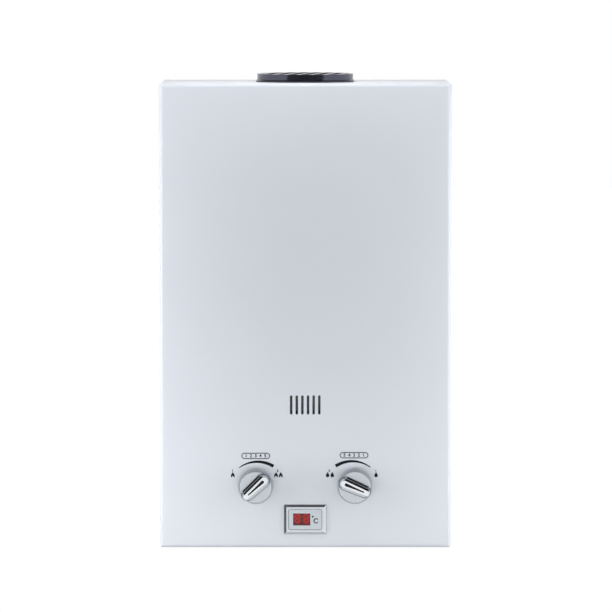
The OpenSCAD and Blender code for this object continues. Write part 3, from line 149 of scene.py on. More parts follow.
def vary(tree, shader, tone, colours, gloss, roughness):
    """Let one output blend two base colours, and another one set the roughness."""
    add_node(tree, "ShaderNodeMix", {MIX_A: linear(colours[0]), MIX_B: linear(colours[1])},
             {MIX_FACTOR: tone}, {MIX_RESULT: shader.inputs["Base Color"]}, data_type="RGBA")
    add_node(tree, "ShaderNodeMapRange", {"To Min": roughness[0], "To Max": roughness[1]},
             {"Value": gloss}, {"Result": shader.inputs["Roughness"]})


def cloudy_finish(name, colours, patch_mm, grain_mm, roughness, relief_mm, **values):
    """A finish with soft patches between two colours, and a finer grain in gloss and relief."""
    material, tree, shader, where = start_material(name, colours[0], **values)
    patches = add_node(tree, "ShaderNodeTexNoise", {"Scale": 1 / (patch_mm * MM)},
                       {"Vector": where}).outputs["Fac"]
    grain = add_node(tree, "ShaderNodeTexNoise",
                     {"Scale": 1 / (grain_mm * MM), "Detail": GRAIN_DETAIL},
                     {"Vector": where}).outputs["Fac"]
    vary(tree, shader, patches, colours, grain, roughness)
    add_node(tree, "ShaderNodeBump", {"Distance": relief_mm * MM, "Strength": RELIEF_STRENGTH},
             {"Height": grain}, {"Normal": shader.inputs["Normal"]})
    return material


finishes = {}
print("recipe for finishes is ready")

# %% [markdown]
# ## Sheet metals
# The cover is stove enamel on pressed steel: a thick, hard, semi-gloss coat whose skin is
# slightly wavy, like the peel of an orange, a couple of millimetres from crest to crest.
# The flue collar has black heat-proof paint. The back plate and the floor are galvanised
# sheet, whose zinc crystals show as flat cells about a centimetre wide. Noise would blur
# their straight borders, so they are Voronoi cells.

# %% Enamel, heat-proof paint and galvanised sheet
# Baked enamel gives the eye a cool white with broad, soft highlights.
finishes["white_enamel"] = cloudy_finish(
    "stove_enamel", ("#D8DDE5", "#DCE1E9"), patch_mm=120, grain_mm=2.4,
    roughness=(0.26, 0.34), relief_mm=0.012, Coat_Weight=0.25, Coat_Roughness=0.18)

# Sprayed heat-proof paint gives near black, with a glossy, bluish sheen towards the light.
finishes["black_steel"] = cloudy_finish(
    "heat_proof_paint", ("#0F0F16", "#14141C"), patch_mm=14, grain_mm=0.9,
    roughness=(0.13, 0.2), relief_mm=0.01,
    IOR=1.75, Specular_IOR_Level=0.9, Specular_Tint=linear("#D6D8F4"))

# Hot-dipped zinc gives grey cells that differ a little in tone and in gloss.
SPANGLE_MM = 9
zinc, tree, shader, where = start_material("galvanised_steel", "#B4B9BD", Metallic=0.9)
cells = add_node(tree, "ShaderNodeTexVoronoi", {"Scale": 1 / (SPANGLE_MM * MM)},
                 {"Vector": where})
flake = add_node(tree, "ShaderNodeSeparateColor", links={"Color": cells.outputs["Color"]})
vary(tree, shader, flake.outputs["Red"], ("#A4AAAE", "#BCC1C4"),
     flake.outputs["Green"], (0.32, 0.55))
finishes["galvanised_steel"] = zinc
print("sheet finishes:", sorted(finishes))

# %% [markdown]
# ## Metals of the water and gas way
# Pipes are drawn copper, which darkens in brown patches, and the jacket round the fins,
# which the burner heats, is tarnished almost black. Turned brass keeps a fine cutting
# grain, die-cast aluminium has a grey, sandy skin, and nickel plate is bright with a little
# haze. All of them are the recipe above, at the sizes that the real metal shows.

# %% Copper, brass, cast aluminium and plated steel
# Drawn tube gives a warm orange brown, duller in patches.
finishes["copper"] = cloudy_finish(
    "drawn_copper", ("#A5653F", "#C98A62"), patch_mm=22, grain_mm=1.2,
    roughness=(0.24, 0.42), relief_mm=0.01, Metallic=1.0)

# Sheet copper that was heated often gives a dark brown with hardly any shine left.
finishes["tarnished_copper"] = cloudy_finish(
    "heat_tarnished_copper", ("#2B2320", "#3D302A"), patch_mm=28, grain_mm=1.2,
    roughness=(0.5, 0.68), relief_mm=0.01, Metallic=1.0)

# Brass from the lathe gives a pale yellow with a soft gleam.
finishes["brass"] = cloudy_finish(
    "turned_brass", ("#B8974F", "#CDB06A"), patch_mm=9, grain_mm=0.6,
    roughness=(0.2, 0.36), relief_mm=0.01, Metallic=1.0)

# Pressure-cast aluminium gives a mid grey, dull and slightly sandy.
finishes["cast_aluminium"] = cloudy_finish(
    "die_cast_aluminium", ("#989DA1", "#B1B5B8"), patch_mm=16, grain_mm=0.8,
    roughness=(0.42, 0.6), relief_mm=0.05, Metallic=0.9)

# Nickel on steel gives a light grey shine under a little haze.
finishes["plated_steel"] = cloudy_finish(
    "nickel_plated_steel", ("#C4C6C8", "#D3D5D6"), patch_mm=10, grain_mm=0.7,
    roughness=(0.2, 0.32), relief_mm=0.008, Metallic=1.0)
print("finishes so far:", len(finishes))

# %% [markdown]
# ## Plastics, rubber, ceramic and mica
# The battery door, switches and plugs are moulded plastic with a fine eroded texture, the
# leads have silicone sleeves, the diaphragm is rubber and the electrode sleeves are fired
# alumina. Thin grey lines on the front are painted shadow, where gaps and seams lie in shade.
# The pane behind the viewing slots is mica, a clear sheet with a faint grey cloud, so it lets
# light through.

# %% Moulded, fired and clear materials
# Moulded plastic gives black with a dull, even shine.
finishes["black_plastic"] = cloudy_finish(
    "moulded_abs", ("#151618", "#1E1F22"), patch_mm=18, grain_mm=0.7,
    roughness=(0.38, 0.52), relief_mm=0.03)

# Pressed rubber gives a matt black.
finishes["black_rubber"] = cloudy_finish(
    "nitrile_rubber", ("#141414", "#1D1D1D"), patch_mm=12, grain_mm=1.0,
    roughness=(0.6, 0.75), relief_mm=0.03)

# Extruded silicone gives a brick red without much shine.
finishes["red_silicone"] = cloudy_finish(
    "silicone_sleeve", ("#A03328", "#B24236"), patch_mm=20, grain_mm=1.0,
    roughness=(0.45, 0.6), relief_mm=0.02)

# Fired alumina gives a warm, half-matt white.
finishes["ceramic"] = cloudy_finish(
    "fired_alumina", ("#E4DFD3", "#EFEBE1"), patch_mm=7, grain_mm=0.6,
    roughness=(0.4, 0.55), relief_mm=0.02)

# The film round a battery cell gives a smooth, plain blue.
finishes["cell_jacket"] = cloudy_finish(
    "printed_cell_jacket", ("#34507A", "#405F8C"), patch_mm=30, grain_mm=2,
    roughness=(0.3, 0.4), relief_mm=0.01)

# Painted shadow: a thin, matt grey line that stands for the shade in a gap or a seam.
finishes["painted_shadow_line"] = cloudy_finish(
    "painted_shadow_line", ("#777B82", "#82868D"), patch_mm=8, grain_mm=0.8,
    roughness=(0.5, 0.65), relief_mm=0.01)

# Lacquer over copper tracks gives a green of two depths.
finishes["circuit_board"] = cloudy_finish(
    "lacquered_board", ("#1F5A33", "#2C7042"), patch_mm=3, grain_mm=0.8,
    roughness=(0.35, 0.5), relief_mm=0.02)

# Split mica gives a glossy, slightly clouded view of what is behind it.
finishes["mica"] = cloudy_finish(
    "mica_sheet", ("#B7BEC9", "#C6CCD6"), patch_mm=8, grain_mm=2,
    roughness=(0.08, 0.2), relief_mm=0.02, IOR=1.58, Transmission_Weight=0.9)
print("finishes so far:", len(finishes))

# %% [markdown]
# ## Chrome and other plates
# The knobs' grips are plastic with bright chrome on it, a mirror with hardly any haze. The
# display's border is metallised plastic under a clear lacquer, so its mirror is softer and
# a little blue. The skirts of the knobs are nickel plate, duller than chrome, and a shade
# darker still as painted shade for the dark band along the top of each knob.

# %% Chrome, lacquered chrome and nickel
# Chrome gives sharp, light reflections next to black ones.
finishes["chrome"] = cloudy_finish(
    "bright_chrome", ("#E3E7ED", "#EDF0F5"), patch_mm=30, grain_mm=6,
    roughness=(0.05, 0.09), relief_mm=0.004, Metallic=1.0)

# Lacquer over vapour-plated plastic gives the same reflections, bluish and blurred.
finishes["metallised_plastic"] = cloudy_finish(
    "lacquered_chrome", ("#CFD6DF", "#DAE0E7"), patch_mm=20, grain_mm=4,
    roughness=(0.1, 0.16), relief_mm=0.004, Metallic=0.86)

# Nickel gives a hazy grey. Its tone, a shade below the chrome, is painted shade for the
# dark band along the top of each knob.
finishes["dark_nickel"] = cloudy_finish(
    "dark_nickel_plate", ("#B6BCC3", "#C2C8CE"), patch_mm=12, grain_mm=0.8,
    roughness=(0.3, 0.42), relief_mm=0.008, Metallic=0.9)
print("finishes so far:", len(finishes))

# %% [markdown]
# ## Spun aluminium
# The knobs' faces are spun: the tool leaves fine rings round each knob's axis, so the
# pattern reads the distance from that axis. Both knobs lie at the same distance from the
# middle, so the absolute value of the coordinates puts one pattern on both. The display's
# plate is cut from the same sheet and shares the finish.

# %% Rings of the spun faces
KNOB_X_MM, KNOB_Z_MM = 56.5, 194
RING_MM = 0.55  # coarser than a real tool mark, so that the rings show in the render
RING_RELIEF_MM, RING_STRENGTH = 0.01, 0.5

# Spinning gives a bright satin whose rings catch the light in turn.
spun, tree, shader, where = start_material("spun_aluminium", "#D5DBE2", Metallic=0.6)
folded = add_node(tree, "ShaderNodeVectorMath", links={0: where}, operation="ABSOLUTE")
centred = add_node(tree, "ShaderNodeVectorMath", {1: (KNOB_X_MM * MM, 0, KNOB_Z_MM * MM)},
                   {0: folded.outputs[0]}, operation="SUBTRACT")
per_ring = 1 / (RING_MM * MM)
flat = add_node(tree, "ShaderNodeVectorMath", {1: (per_ring, 0, per_ring)},
                {0: centred.outputs[0]}, operation="MULTIPLY")
radius = add_node(tree, "ShaderNodeVectorMath", links={0: flat.outputs[0]}, operation="LENGTH")
rings = add_node(tree, "ShaderNodeTexNoise", {"Scale": 1.0, "Detail": GRAIN_DETAIL},
                 {"W": radius.outputs["Value"]}, noise_dimensions="1D").outputs["Fac"]
vary(tree, shader, rings, ("#CFD6DD", "#DFE5EB"), rings, (0.3, 0.46))
add_node(tree, "ShaderNodeBump", {"Distance": RING_RELIEF_MM * MM, "Strength": RING_STRENGTH},
         {"Height": rings}, {"Normal": shader.inputs["Normal"]})
finishes["satin_aluminium"] = spun
print("a ring every", RING_MM, "mm")

# %% [markdown]
# ## Window, lit segments and ink
# The display's window is clear red acrylic in front of lit segments. A red tint with full
# transmission lets the dark block behind it show, as the real one does, and the segments
# glow only a little, because a strong glow would wash out their red. The marks on the
# panel are printed with a dull black ink.

# %% Red acrylic, lit segments and ink
# Cast acrylic gives a deep, glossy red.
finishes["red_window"] = cloudy_finish(
    "red_acrylic", ("#C42A30", "#D03238"), patch_mm=20, grain_mm=4,
    roughness=(0.04, 0.08), relief_mm=0.004, IOR=1.49, Transmission_Weight=1.0)

# Lit plastic bars give a brighter red than what is round them.
finishes["red_light"] = cloudy_finish(
    "lit_segments", ("#E02A24", "#EE3A30"), patch_mm=4, grain_mm=1,
    roughness=(0.4, 0.5), relief_mm=0.004,
    Emission_Color=linear("#FF3A2E"), Emission_Strength=0.13)

# Screen-printed ink gives black without a gleam of its own.
finishes["print_ink"] = cloudy_finish(
    "printed_ink", ("#121216", "#1A1A1F"), patch_mm=6, grain_mm=0.5,
    roughness=(0.4, 0.55), relief_mm=0.006, Specular_IOR_Level=0.2)
print("finishes:", len(finishes))

# %% [markdown]
# ## Dress the CAD nodes
# Most solids already have the right form and only need their finish. The imported meshes
# are loose triangles, so a Weld joins them, an Edge Split keeps real corners sharp and a
# Weighted Normal keeps the large flats flat beside their rounded edges.

# %% Give each node its finish
SMOOTH_ANGLE = math.radians(32)
WELD_MM = 0.002
OWN_FINISH = {"display_bezel": "metallised_plastic", "exchanger_jacket": "tarnished_copper"}

for part in frame["record"]["subparts"]:
    node = nodes[part["node"]]
    finish = OWN_FINISH.get(part["node"], part["material_slot"])
    node.data.materials.clear()
    node.data.materials.append(finishes[finish])
    node.data.polygons.foreach_set("use_smooth", [True] * len(node.data.polygons))
    weld = node.modifiers.new("weld", "WELD")
    weld.merge_threshold = WELD_MM * MM
    split = node.modifiers.new("corners", "EDGE_SPLIT")
    split.split_angle = SMOOTH_ANGLE
    flats = node.modifiers.new("flats", "WEIGHTED_NORMAL")
    flats.keep_sharp = True
print("dressed", len(nodes), "CAD nodes")

# %% [markdown]
# ## Light
# The heater hangs in a bright room. Soft boxes stand left and right of the casing, so the
# panel is a little darker in the middle than at its sides, and two more light it from above
# and below. Three narrow edge lights stand just in front of the panel's plane: they brighten
# the rounded edges and hardly touch the panel. One box hangs over the roof. The world adds a
# low, even light, and is plain white where it is seen or mirrored.

# %% World and lamps
WHITE = (1, 1, 1, 1)
AMBIENT, BACKDROP = 0.13, 1.0
LAMP_AIM = Vector((0, panel_y, -0.05))
LAMPS = (  # name, place, size, watts
    ("left_soft_box", (-0.42, -0.27, -0.03), (0.1, 0.75), 1.72),
    ("right_soft_box", (0.42, -0.27, -0.03), (0.1, 0.75), 1.42),
    ("top_soft_box", (0, -0.36, 0.47), (0.4, 0.12), 0.78),
    ("low_soft_box", (-0.02, -0.48, -0.31), (0.6, 0.15), 0.8),
    ("top_edge_light", (0, -0.141, 0.35), (0.42, 0.03), 0.13),
    ("left_edge_light", (-0.3, -0.137, 0), (0.03, 0.6), 0.03),
    ("right_edge_light", (0.3, -0.137, 0), (0.03, 0.6), 0.075),
    ("roof_soft_box", (0, -0.05, 1.0), (0.8, 0.4), 1.5))

world = bpy.data.worlds.new("white_studio")
scene.world = world
world.use_nodes = True
tree = world.node_tree
tree.nodes.clear()
path = add_node(tree, "ShaderNodeLightPath").outputs
seen = add_node(tree, "ShaderNodeMath", operation="MAXIMUM",
                links={0: path["Is Camera Ray"], 1: path["Is Glossy Ray"]})
seen = add_node(tree, "ShaderNodeMath", operation="MAXIMUM",
                links={0: seen.outputs[0], 1: path["Is Transmission Ray"]})
room = add_node(tree, "ShaderNodeBackground", {"Color": WHITE, "Strength": AMBIENT})
backdrop = add_node(tree, "ShaderNodeBackground", {"Color": WHITE, "Strength": BACKDROP})
mix = add_node(tree, "ShaderNodeMixShader",
               links={0: seen.outputs[0], 1: room.outputs[0], 2: backdrop.outputs[0]})
add_node(tree, "ShaderNodeOutputWorld", links={"Surface": mix.outputs[0]})

for name, place, size, watts in LAMPS:
    lamp = bpy.data.lights.new(name, "AREA")
    lamp.shape = "RECTANGLE"
    lamp.size, lamp.size_y = size
    lamp.energy = watts
    box = bpy.data.objects.new(name, lamp)
    box.location = place
    box.rotation_euler = (LAMP_AIM - Vector(place)).to_track_quat("-Z", "Y").to_euler()
    box.visible_camera = box.visible_glossy = False
    scene.collection.objects.link(box)
print(len(LAMPS), "lamps are lit")

# %% [markdown]
# ## Floor, screens and card
# Chrome shows what stands round it, so a product studio puts up black screens and grey
# cards that only the metal sees. Dark screens above, in front and to the left give the
# grips and the border their black lines, and a grey card below gives the lower bevels
# their light grey. The pale floor is white where it is seen, and clear from underneath, so
# that it doesn't hide the heater in a view from below.

# %% Paint of the floor, the screens and the card
FLOOR_GLOW, CARD_GLOW = 0.86, 0.66
STUDIO_ROUGHNESS = 0.9

# Pale paint gives a floor that melts into the white room and still holds a shadow.
floor_paint, tree, shader, where = start_material(
    "pale_floor", "#F4F4F4", Roughness=STUDIO_ROUGHNESS)
path = add_node(tree, "ShaderNodeLightPath").outputs
facing = add_node(tree, "ShaderNodeNewGeometry")
glow = add_node(tree, "ShaderNodeEmission", {"Color": WHITE, "Strength": FLOOR_GLOW})
lit = add_node(tree, "ShaderNodeAddShader", links={0: shader.outputs[0], 1: glow.outputs[0]})
watched = add_node(tree, "ShaderNodeMath", operation="MAXIMUM",
                   links={0: path["Is Camera Ray"], 1: path["Is Glossy Ray"]})
seen = add_node(tree, "ShaderNodeMixShader",
                links={0: watched.outputs[0], 1: shader.outputs[0], 2: lit.outputs[0]})
clear = add_node(tree, "ShaderNodeBsdfTransparent")
add_node(tree, "ShaderNodeMixShader",
         links={0: facing.outputs["Backfacing"], 1: seen.outputs[0], 2: clear.outputs[0]},
         into={0: tree.nodes["Material Output"].inputs["Surface"]})

# Black cloth gives the mirrors something dark to show, a lit card something light grey.
screen_paint = start_material("dark_screen", "#050506", Roughness=STUDIO_ROUGHNESS)[0]
card_paint = start_material("grey_card", "#050506", Roughness=STUDIO_ROUGHNESS,
                            Emission_Color=WHITE, Emission_Strength=CARD_GLOW)[0]
print("studio paints are mixed")

# %% Floor, screens and card
SHEETS = (  # name, place, size, rotation, paint
    ("pale_floor", (0, 0, -0.66), (30, 30), (0, 0, 0), floor_paint),
    ("screen_above", (-0.3, -0.7, 1.5), (5.6, 5.6), (math.pi, 0, 0), screen_paint),
    ("screen_front", (0, -6.0, 0), (11.6, 1.2), (math.pi / 2, 0, 0), screen_paint),
    ("screen_left", (-2.0, -0.3, -0.5), (1.0, 1.2), (0, math.pi / 2, 0), screen_paint),
    ("card_below", (0, -0.4, -0.64), (4.0, 2.2), (0, 0, 0), card_paint))
for name, place, size, rotation, paint in SHEETS:
    bm = bmesh.new()
    bmesh.ops.create_grid(bm, x_segments=1, y_segments=1, size=0.5)
    bmesh.ops.scale(bm, vec=(*size, 1), verts=bm.verts)
    mesh = bpy.data.meshes.new(name)
    bm.to_mesh(mesh)
    bm.free()
    mesh.materials.append(paint)
    sheet = bpy.data.objects.new(name, mesh)
    sheet.location = place
    sheet.rotation_euler = rotation
    scene.collection.objects.link(sheet)
    if paint is not floor_paint:  # only reflections see the screens and the card
        sheet.visible_camera = sheet.visible_transmission = False
        sheet.visible_diffuse = sheet.visible_shadow = False
print("the studio has", len(SHEETS), "sheets")

# %% [markdown]
# ## Finishing a piece
# New pieces are made with bmesh operators, and each ends the same way, so one helper does
# it: it merges doubles, turns the faces outwards, smooths all but the real corners, and
# lets the piece ride on its CAD body.

# %% Helper that finishes a piece
MERGE_MM = 0.001


def make_piece(name, bm, finish, body, replaced=()):
    """Turn a bmesh into a piece on a body; it may stand for CAD nodes."""
    bmesh.ops.remove_doubles(bm, verts=bm.verts, dist=MERGE_MM * MM)
    bmesh.ops.recalc_face_normals(bm, faces=bm.faces)
    mesh = bpy.data.meshes.new(name)
    bm.to_mesh(mesh)
    bm.free()
    mesh.polygons.foreach_set("use_smooth", [True] * len(mesh.polygons))
    mesh.set_sharp_from_angle(angle=SMOOTH_ANGLE)
    mesh.materials.append(finishes[finish])
    piece = bpy.data.objects.new(name, mesh)
    scene.collection.objects.link(piece)
    flats = piece.modifiers.new("flats", "WEIGHTED_NORMAL")
    flats.keep_sharp = True
    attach(piece, body)
    if replaced:
        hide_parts(*replaced)
    print(name, "has", len(mesh.polygons), "faces")
    return piece


# %% [markdown]
# ## Shapes that come back
# A turned part is an outline spun once round its axis. Grips, labels and drops are two
# round ends and their tangents, drawn by two spins and two edges. Prints and inlays are
# flat faces that an extrusion makes thick. A piece of several bodies is built from one
# bmesh each, because operators that fill or bridge would join neighbours, and then poured
# together.

# %% Helpers for shapes
ROUND_STEPS = 18


def spin_outline(bm, outline, steps):
    """Turn an outline, given as radius and height in millimetres, once round the Z axis."""
    points = [bm.verts.new((r * MM, 0, z * MM)) for r, z in outline]
    edges = [bm.edges.new(pair) for pair in zip(points, points[1:])]
    bmesh.ops.spin(bm, geom=points + edges, cent=(0, 0, 0), axis=(0, 0, 1),
                   angle=2 * math.pi, steps=steps, use_merge=True)


def tapered_outline(bm, front, front_r, tail, tail_r):
    """A face like a drop on z = 0: round ends on the Y axis and their tangents, in millimetres."""
    lean = math.asin((front_r - tail_r) / (front - tail))
    others = set(bm.edges)
    ends = []
    for centre, r, first, sweep in (
            (front * MM, front_r * MM, -lean, math.pi + 2 * lean),
            (tail * MM, tail_r * MM, math.pi + lean, math.pi - 2 * lean)):
        start = bm.verts.new((r * math.cos(first), centre + r * math.sin(first), 0))
        arc = bmesh.ops.spin(bm, geom=[start], cent=(0, centre, 0), axis=(0, 0, 1),
                             angle=sweep, steps=ROUND_STEPS, use_merge=False)
        ends.append((start, arc["geom_last"][0]))
    bm.edges.new((ends[0][1], ends[1][0]))
    bm.edges.new((ends[1][1], ends[0][0]))
    outline = [e for e in bm.edges if e not in others]
    return bmesh.ops.contextual_create(bm, geom=outline)["faces"][0]


def verts_of(geom):
    """The vertices among what an operator returns."""
    return [g for g in geom if isinstance(g, bmesh.types.BMVert)]


def thicken(bm, move):
    """Extrude all faces of a flat bmesh by a vector in metres."""
    grown = bmesh.ops.extrude_face_region(bm, geom=bm.faces[:])["geom"]
    bmesh.ops.translate(bm, vec=move, verts=verts_of(grown))


def pour(bm, part):
    """Pour the bmesh of a part into another one."""
    scratch = bpy.data.meshes.new("scratch")
    part.to_mesh(scratch)
    part.free()
    bm.from_mesh(scratch)
    bpy.data.meshes.remove(scratch)


print("shape helpers are ready")

# %% [markdown]
# ## Grip bar
# A chromed bar lies across each knob, a little wider at the pointer. It could be an
# extrusion with bevels, but its slopes are all different, so five drop-shaped outlines are
# stacked and bridged: a foot and a broad upper bevel, both at about 45 degrees, with a steep
# flank between them. The two slopes are what catches the dark lines in the chrome.

# %% Grip from stacked outlines
GRIP_LEVELS = (  # height, reach of the ends, radius of the pointer's end, radius of the tail
    (12.0, 19.1, 7.9, 6.9), (13.0, 19.1, 7.9, 6.9), (14.8, 18.5, 6.2, 5.2),
    (20.8, 18.2, 6.0, 5.0), (22.85, 17.3, 3.9, 2.9))
GRIP_SOFT, GRIP_SOFT_STEPS = 0.25, 2


def grip_mesh():
    """The grip bar along the Y axis, its pointer's end first."""
    bm = bmesh.new()
    levels = []
    for height, reach, front_r, tail_r in GRIP_LEVELS:
        level = tapered_outline(bm, reach - front_r, front_r, tail_r - reach, tail_r)
        bmesh.ops.translate(bm, vec=(0, 0, height * MM), verts=level.verts)
        levels.append(level)
    for lower, upper in zip(levels, levels[1:]):
        bmesh.ops.bridge_loops(bm, edges=list(lower.edges) + list(upper.edges))
    bmesh.ops.delete(bm, geom=levels[1:-1], context="FACES_ONLY")
    bmesh.ops.bevel(bm, geom=list(levels[-1].edges), offset=GRIP_SOFT * MM, affect="EDGES",
                    segments=GRIP_SOFT_STEPS, profile=0.5, material=-1)
    return bm


print("the grip has", len(GRIP_LEVELS), "levels")

# %% [markdown]
# ## Knobs
# The knob itself is a chromed cup with a hub inside, which takes the spindle. Such a part
# is round, so one profile is spun about its axis. The rim has the satin of the face and the
# skirt is nickel plate darkened as painted shade, so a knob carries three materials, chosen
# by where a face lies. It is built standing up and then laid on the panel, turned to where
# its pointer shows.

# %% Cups with their grips
KNOBS = (("temperature", -1, 47.5), ("flow", 1, -67))  # name, side, turn of the pointer
KNOB_R, CUP_STEPS = 19.75, 96
CUP_BOTTOM, CUP_TOP = 1.0, 13.0
CUP_PROFILE = (  # radius and height: hub, inside of the wall, skirt, rim, ground of the face
    (0, 10), (4.06, 10), (4.06, 1), (8, 1), (8, 10), (16.15, 10), (17.95, 1),
    (KNOB_R, CUP_BOTTOM), (19.4, 8.5), (19.0, 11.0), (18.5, 12.3),
    (17.75, CUP_TOP), (17.25, CUP_TOP), (17.25, 12.2), (0, 12.2))
RIM_FROM, SKIRT_FROM_R = 12.9, 17.7
RIM_SLOT, SKIRT_SLOT = 1, 2


def knob_place(side, turn):
    """A knob's place: the panel is its ground, the viewer is up, the pointer turns clockwise."""
    return (Matrix.Translation((side * KNOB_X_MM * MM, panel_y, -KNOB_Z_MM * MM))
            @ Matrix.Rotation(math.radians(90), 4, "X")
            @ Matrix.Rotation(math.radians(-turn), 4, "Z"))


for name, side, turn in KNOBS:
    bm = bmesh.new()
    spin_outline(bm, CUP_PROFILE, CUP_STEPS)
    bmesh.ops.remove_doubles(bm, verts=bm.verts, dist=MERGE_MM * MM)
    for face in bm.faces:
        if all(v.co.z > RIM_FROM * MM for v in face.verts):
            face.material_index = RIM_SLOT
        elif all(v.co.xy.length > SKIRT_FROM_R * MM for v in face.verts):
            face.material_index = SKIRT_SLOT
    pour(bm, grip_mesh())
    bmesh.ops.transform(bm, matrix=knob_place(side, turn), verts=bm.verts)
    knob = make_piece(f"chrome_{name}_knob", bm, "chrome", f"{name}_dial", [f"{name}_knob"])
    knob.data.materials.append(finishes["satin_aluminium"])
    # The skirt's nickel is darkened as painted shade for the dark band at the knob's top.
    knob.data.materials.append(finishes["dark_nickel"])

# %% [markdown]
# ## Painted shadow round the grip, and pointer
# A thin grey ring is painted shadow where the grip rises through the knob's face and shade
# falls in the gap: it is the foot of the grip again, a little larger and about as high as the
# face. The black pointer let into the top of the grip is a long drop with a slight waist.
# Cutting its two straight sides into short edges gives points that can be drawn in.

# %% Painted shadow round the grip, and inlaid pointer
GRIP_SHADOW_MM, GRIP_SHADOW_LOW, GRIP_SHADOW_H = 0.45, 12.1, 1.0
INLAY_FRONT, INLAY_FRONT_R = 10.9, 1.8
INLAY_TAIL, INLAY_TAIL_R = -10.6, 0.75
INLAY_LOW, INLAY_HIGH = 22.5, 23.0
INLAY_WAIST, INLAY_CUTS = 0.1, 12
FOOT_REACH, FOOT_FRONT_R, FOOT_TAIL_R = GRIP_LEVELS[0][1:]

for name, side, turn in KNOBS:
    # A grey ring of painted shadow, where shade falls in the gap round the grip's foot.
    grip_shade = bmesh.new()
    tapered_outline(grip_shade, FOOT_REACH - FOOT_FRONT_R, FOOT_FRONT_R + GRIP_SHADOW_MM,
                    FOOT_TAIL_R - FOOT_REACH, FOOT_TAIL_R + GRIP_SHADOW_MM)
    bmesh.ops.translate(grip_shade, vec=(0, 0, GRIP_SHADOW_LOW * MM), verts=grip_shade.verts)
    thicken(grip_shade, (0, 0, GRIP_SHADOW_H * MM))
    bmesh.ops.transform(grip_shade, matrix=knob_place(side, turn), verts=grip_shade.verts)
    make_piece(f"{name}_grip_painted_shadow", grip_shade, "painted_shadow_line", f"{name}_dial")

    inlay = bmesh.new()
    tapered_outline(inlay, INLAY_FRONT, INLAY_FRONT_R, INLAY_TAIL, INLAY_TAIL_R)
    flanks = [e for e in inlay.edges if e.calc_length() > INLAY_FRONT * MM]
    cuts = bmesh.ops.subdivide_edges(inlay, edges=flanks, cuts=INLAY_CUTS)["geom_inner"]
    for v in verts_of(cuts):
        along = (v.co.y / MM - INLAY_TAIL) / (INLAY_FRONT - INLAY_TAIL)
        v.co.x *= 1 - INLAY_WAIST * math.sin(math.pi * along)
    bmesh.ops.translate(inlay, vec=(0, 0, INLAY_LOW * MM), verts=inlay.verts)
    thicken(inlay, (0, 0, (INLAY_HIGH - INLAY_LOW) * MM))
    bmesh.ops.transform(inlay, matrix=knob_place(side, turn), verts=inlay.verts)
    make_piece(f"inlaid_{name}_pointer", inlay, "print_ink", f"{name}_dial",
               [f"{name}_pointer"])

# %% [markdown]
# ## Printed marks
# The panel carries a thin screen print: over each knob a tapered arc, an outlined label and
# small pictograms. A print is a skin of ink, so each mark is a flat face given about a tenth
# of a millimetre of thickness. An image would blur at the edges of such fine lines. The arcs
# are spun from a short edge and then thinned towards one end, slowly at first.

# %% Arcs
INK_MM = 0.12
ARC_R, ARC_STEPS = 34.6, 36
ARC_THICK, ARC_THIN = 3.7, 1.0
ARC_BEND = 1.3  # above 1, an arc keeps its thickness for longer
ARCS = (  # name, centre x and z, angle of the thick end, angle of the thin end
    ("temperature_arc", -54.5, -200.6, 58, 127), ("flow_arc", 53.5, -200, 123, 53))


def print_mark(bm, part, x, z, ground_y=panel_y):
    """Stand a part, drawn flat on z = 0, on the front at x and z, give it ink, pour it in."""
    place = (Matrix.Translation((x * MM, ground_y, z * MM))
             @ Matrix.Rotation(math.radians(90), 4, "X"))
    bmesh.ops.transform(part, matrix=place, verts=part.verts)
    thicken(part, (0, -INK_MM * MM, 0))
    pour(bm, part)


for name, x, z, thick_angle, thin_angle in ARCS:
    arc = bmesh.new()
    outwards = Matrix.Rotation(math.radians(thick_angle), 3, "Z") @ Vector((1, 0, 0))
    ends = [arc.verts.new(outwards * r * MM)
            for r in (ARC_R - ARC_THICK / 2, ARC_R + ARC_THICK / 2)]
    first = arc.edges.new(ends)
    bmesh.ops.spin(arc, geom=[*ends, first], cent=(0, 0, 0), axis=(0, 0, 1), steps=ARC_STEPS,
                   angle=math.radians(thin_angle - thick_angle), use_merge=False)
    for v in arc.verts:
        angle = math.degrees(math.atan2(v.co.y, v.co.x))
        along = max((angle - thick_angle) / (thin_angle - thick_angle), 0)
        thinned = 1 - along ** ARC_BEND * (1 - ARC_THIN / ARC_THICK)
        v.co = v.co.normalized() * (ARC_R * MM + (v.co.length - ARC_R * MM) * thinned)
    bm = bmesh.new()
    print_mark(bm, arc, x, z)
    make_piece(name, bm, "print_ink", "casing")

# %% [markdown]
# ## Labels
# A label over each arc is the outline of a long field with round ends. A curve with a bevel
# would draw such a line too, but here the grip's outline is at hand: drawn with two equal
# ends, laid on its side, inset by the width of the line, and emptied.

# %% Labels
LABEL_W, LABEL_H, LABEL_LINE = 32.6, 7.1, 0.9
LABELS = (("temperature_label", -56.4, -159.3), ("flow_label", 55.6, -158.5))


def empty_field(bm, field, line_mm):
    """Inset a face by the width of a line, and leave only that line."""
    bmesh.ops.inset_region(bm, faces=[field], thickness=line_mm * MM,
                           use_even_offset=True, use_boundary=True)
    bmesh.ops.delete(bm, geom=[field], context="FACES")


for name, x, z in LABELS:
    label = bmesh.new()
    end, end_r = (LABEL_W - LABEL_H) / 2, LABEL_H / 2
    field = tapered_outline(label, end, end_r, -end, end_r)
    bmesh.ops.rotate(label, cent=(0, 0, 0), verts=label.verts,
                     matrix=Matrix.Rotation(math.radians(90), 3, "Z"))
    empty_field(label, field, LABEL_LINE)
    bm = bmesh.new()
    print_mark(bm, label, x, z)
    make_piece(name, bm, "print_ink", "casing")

# %% [markdown]
# ## Numbers
# The labels hold the plain numbers of a five-step scale, and the ends of each arc are marked
# with its first and last number. Numbers are text objects that become meshes at once, so
# that they can be placed and thickened like any other print.

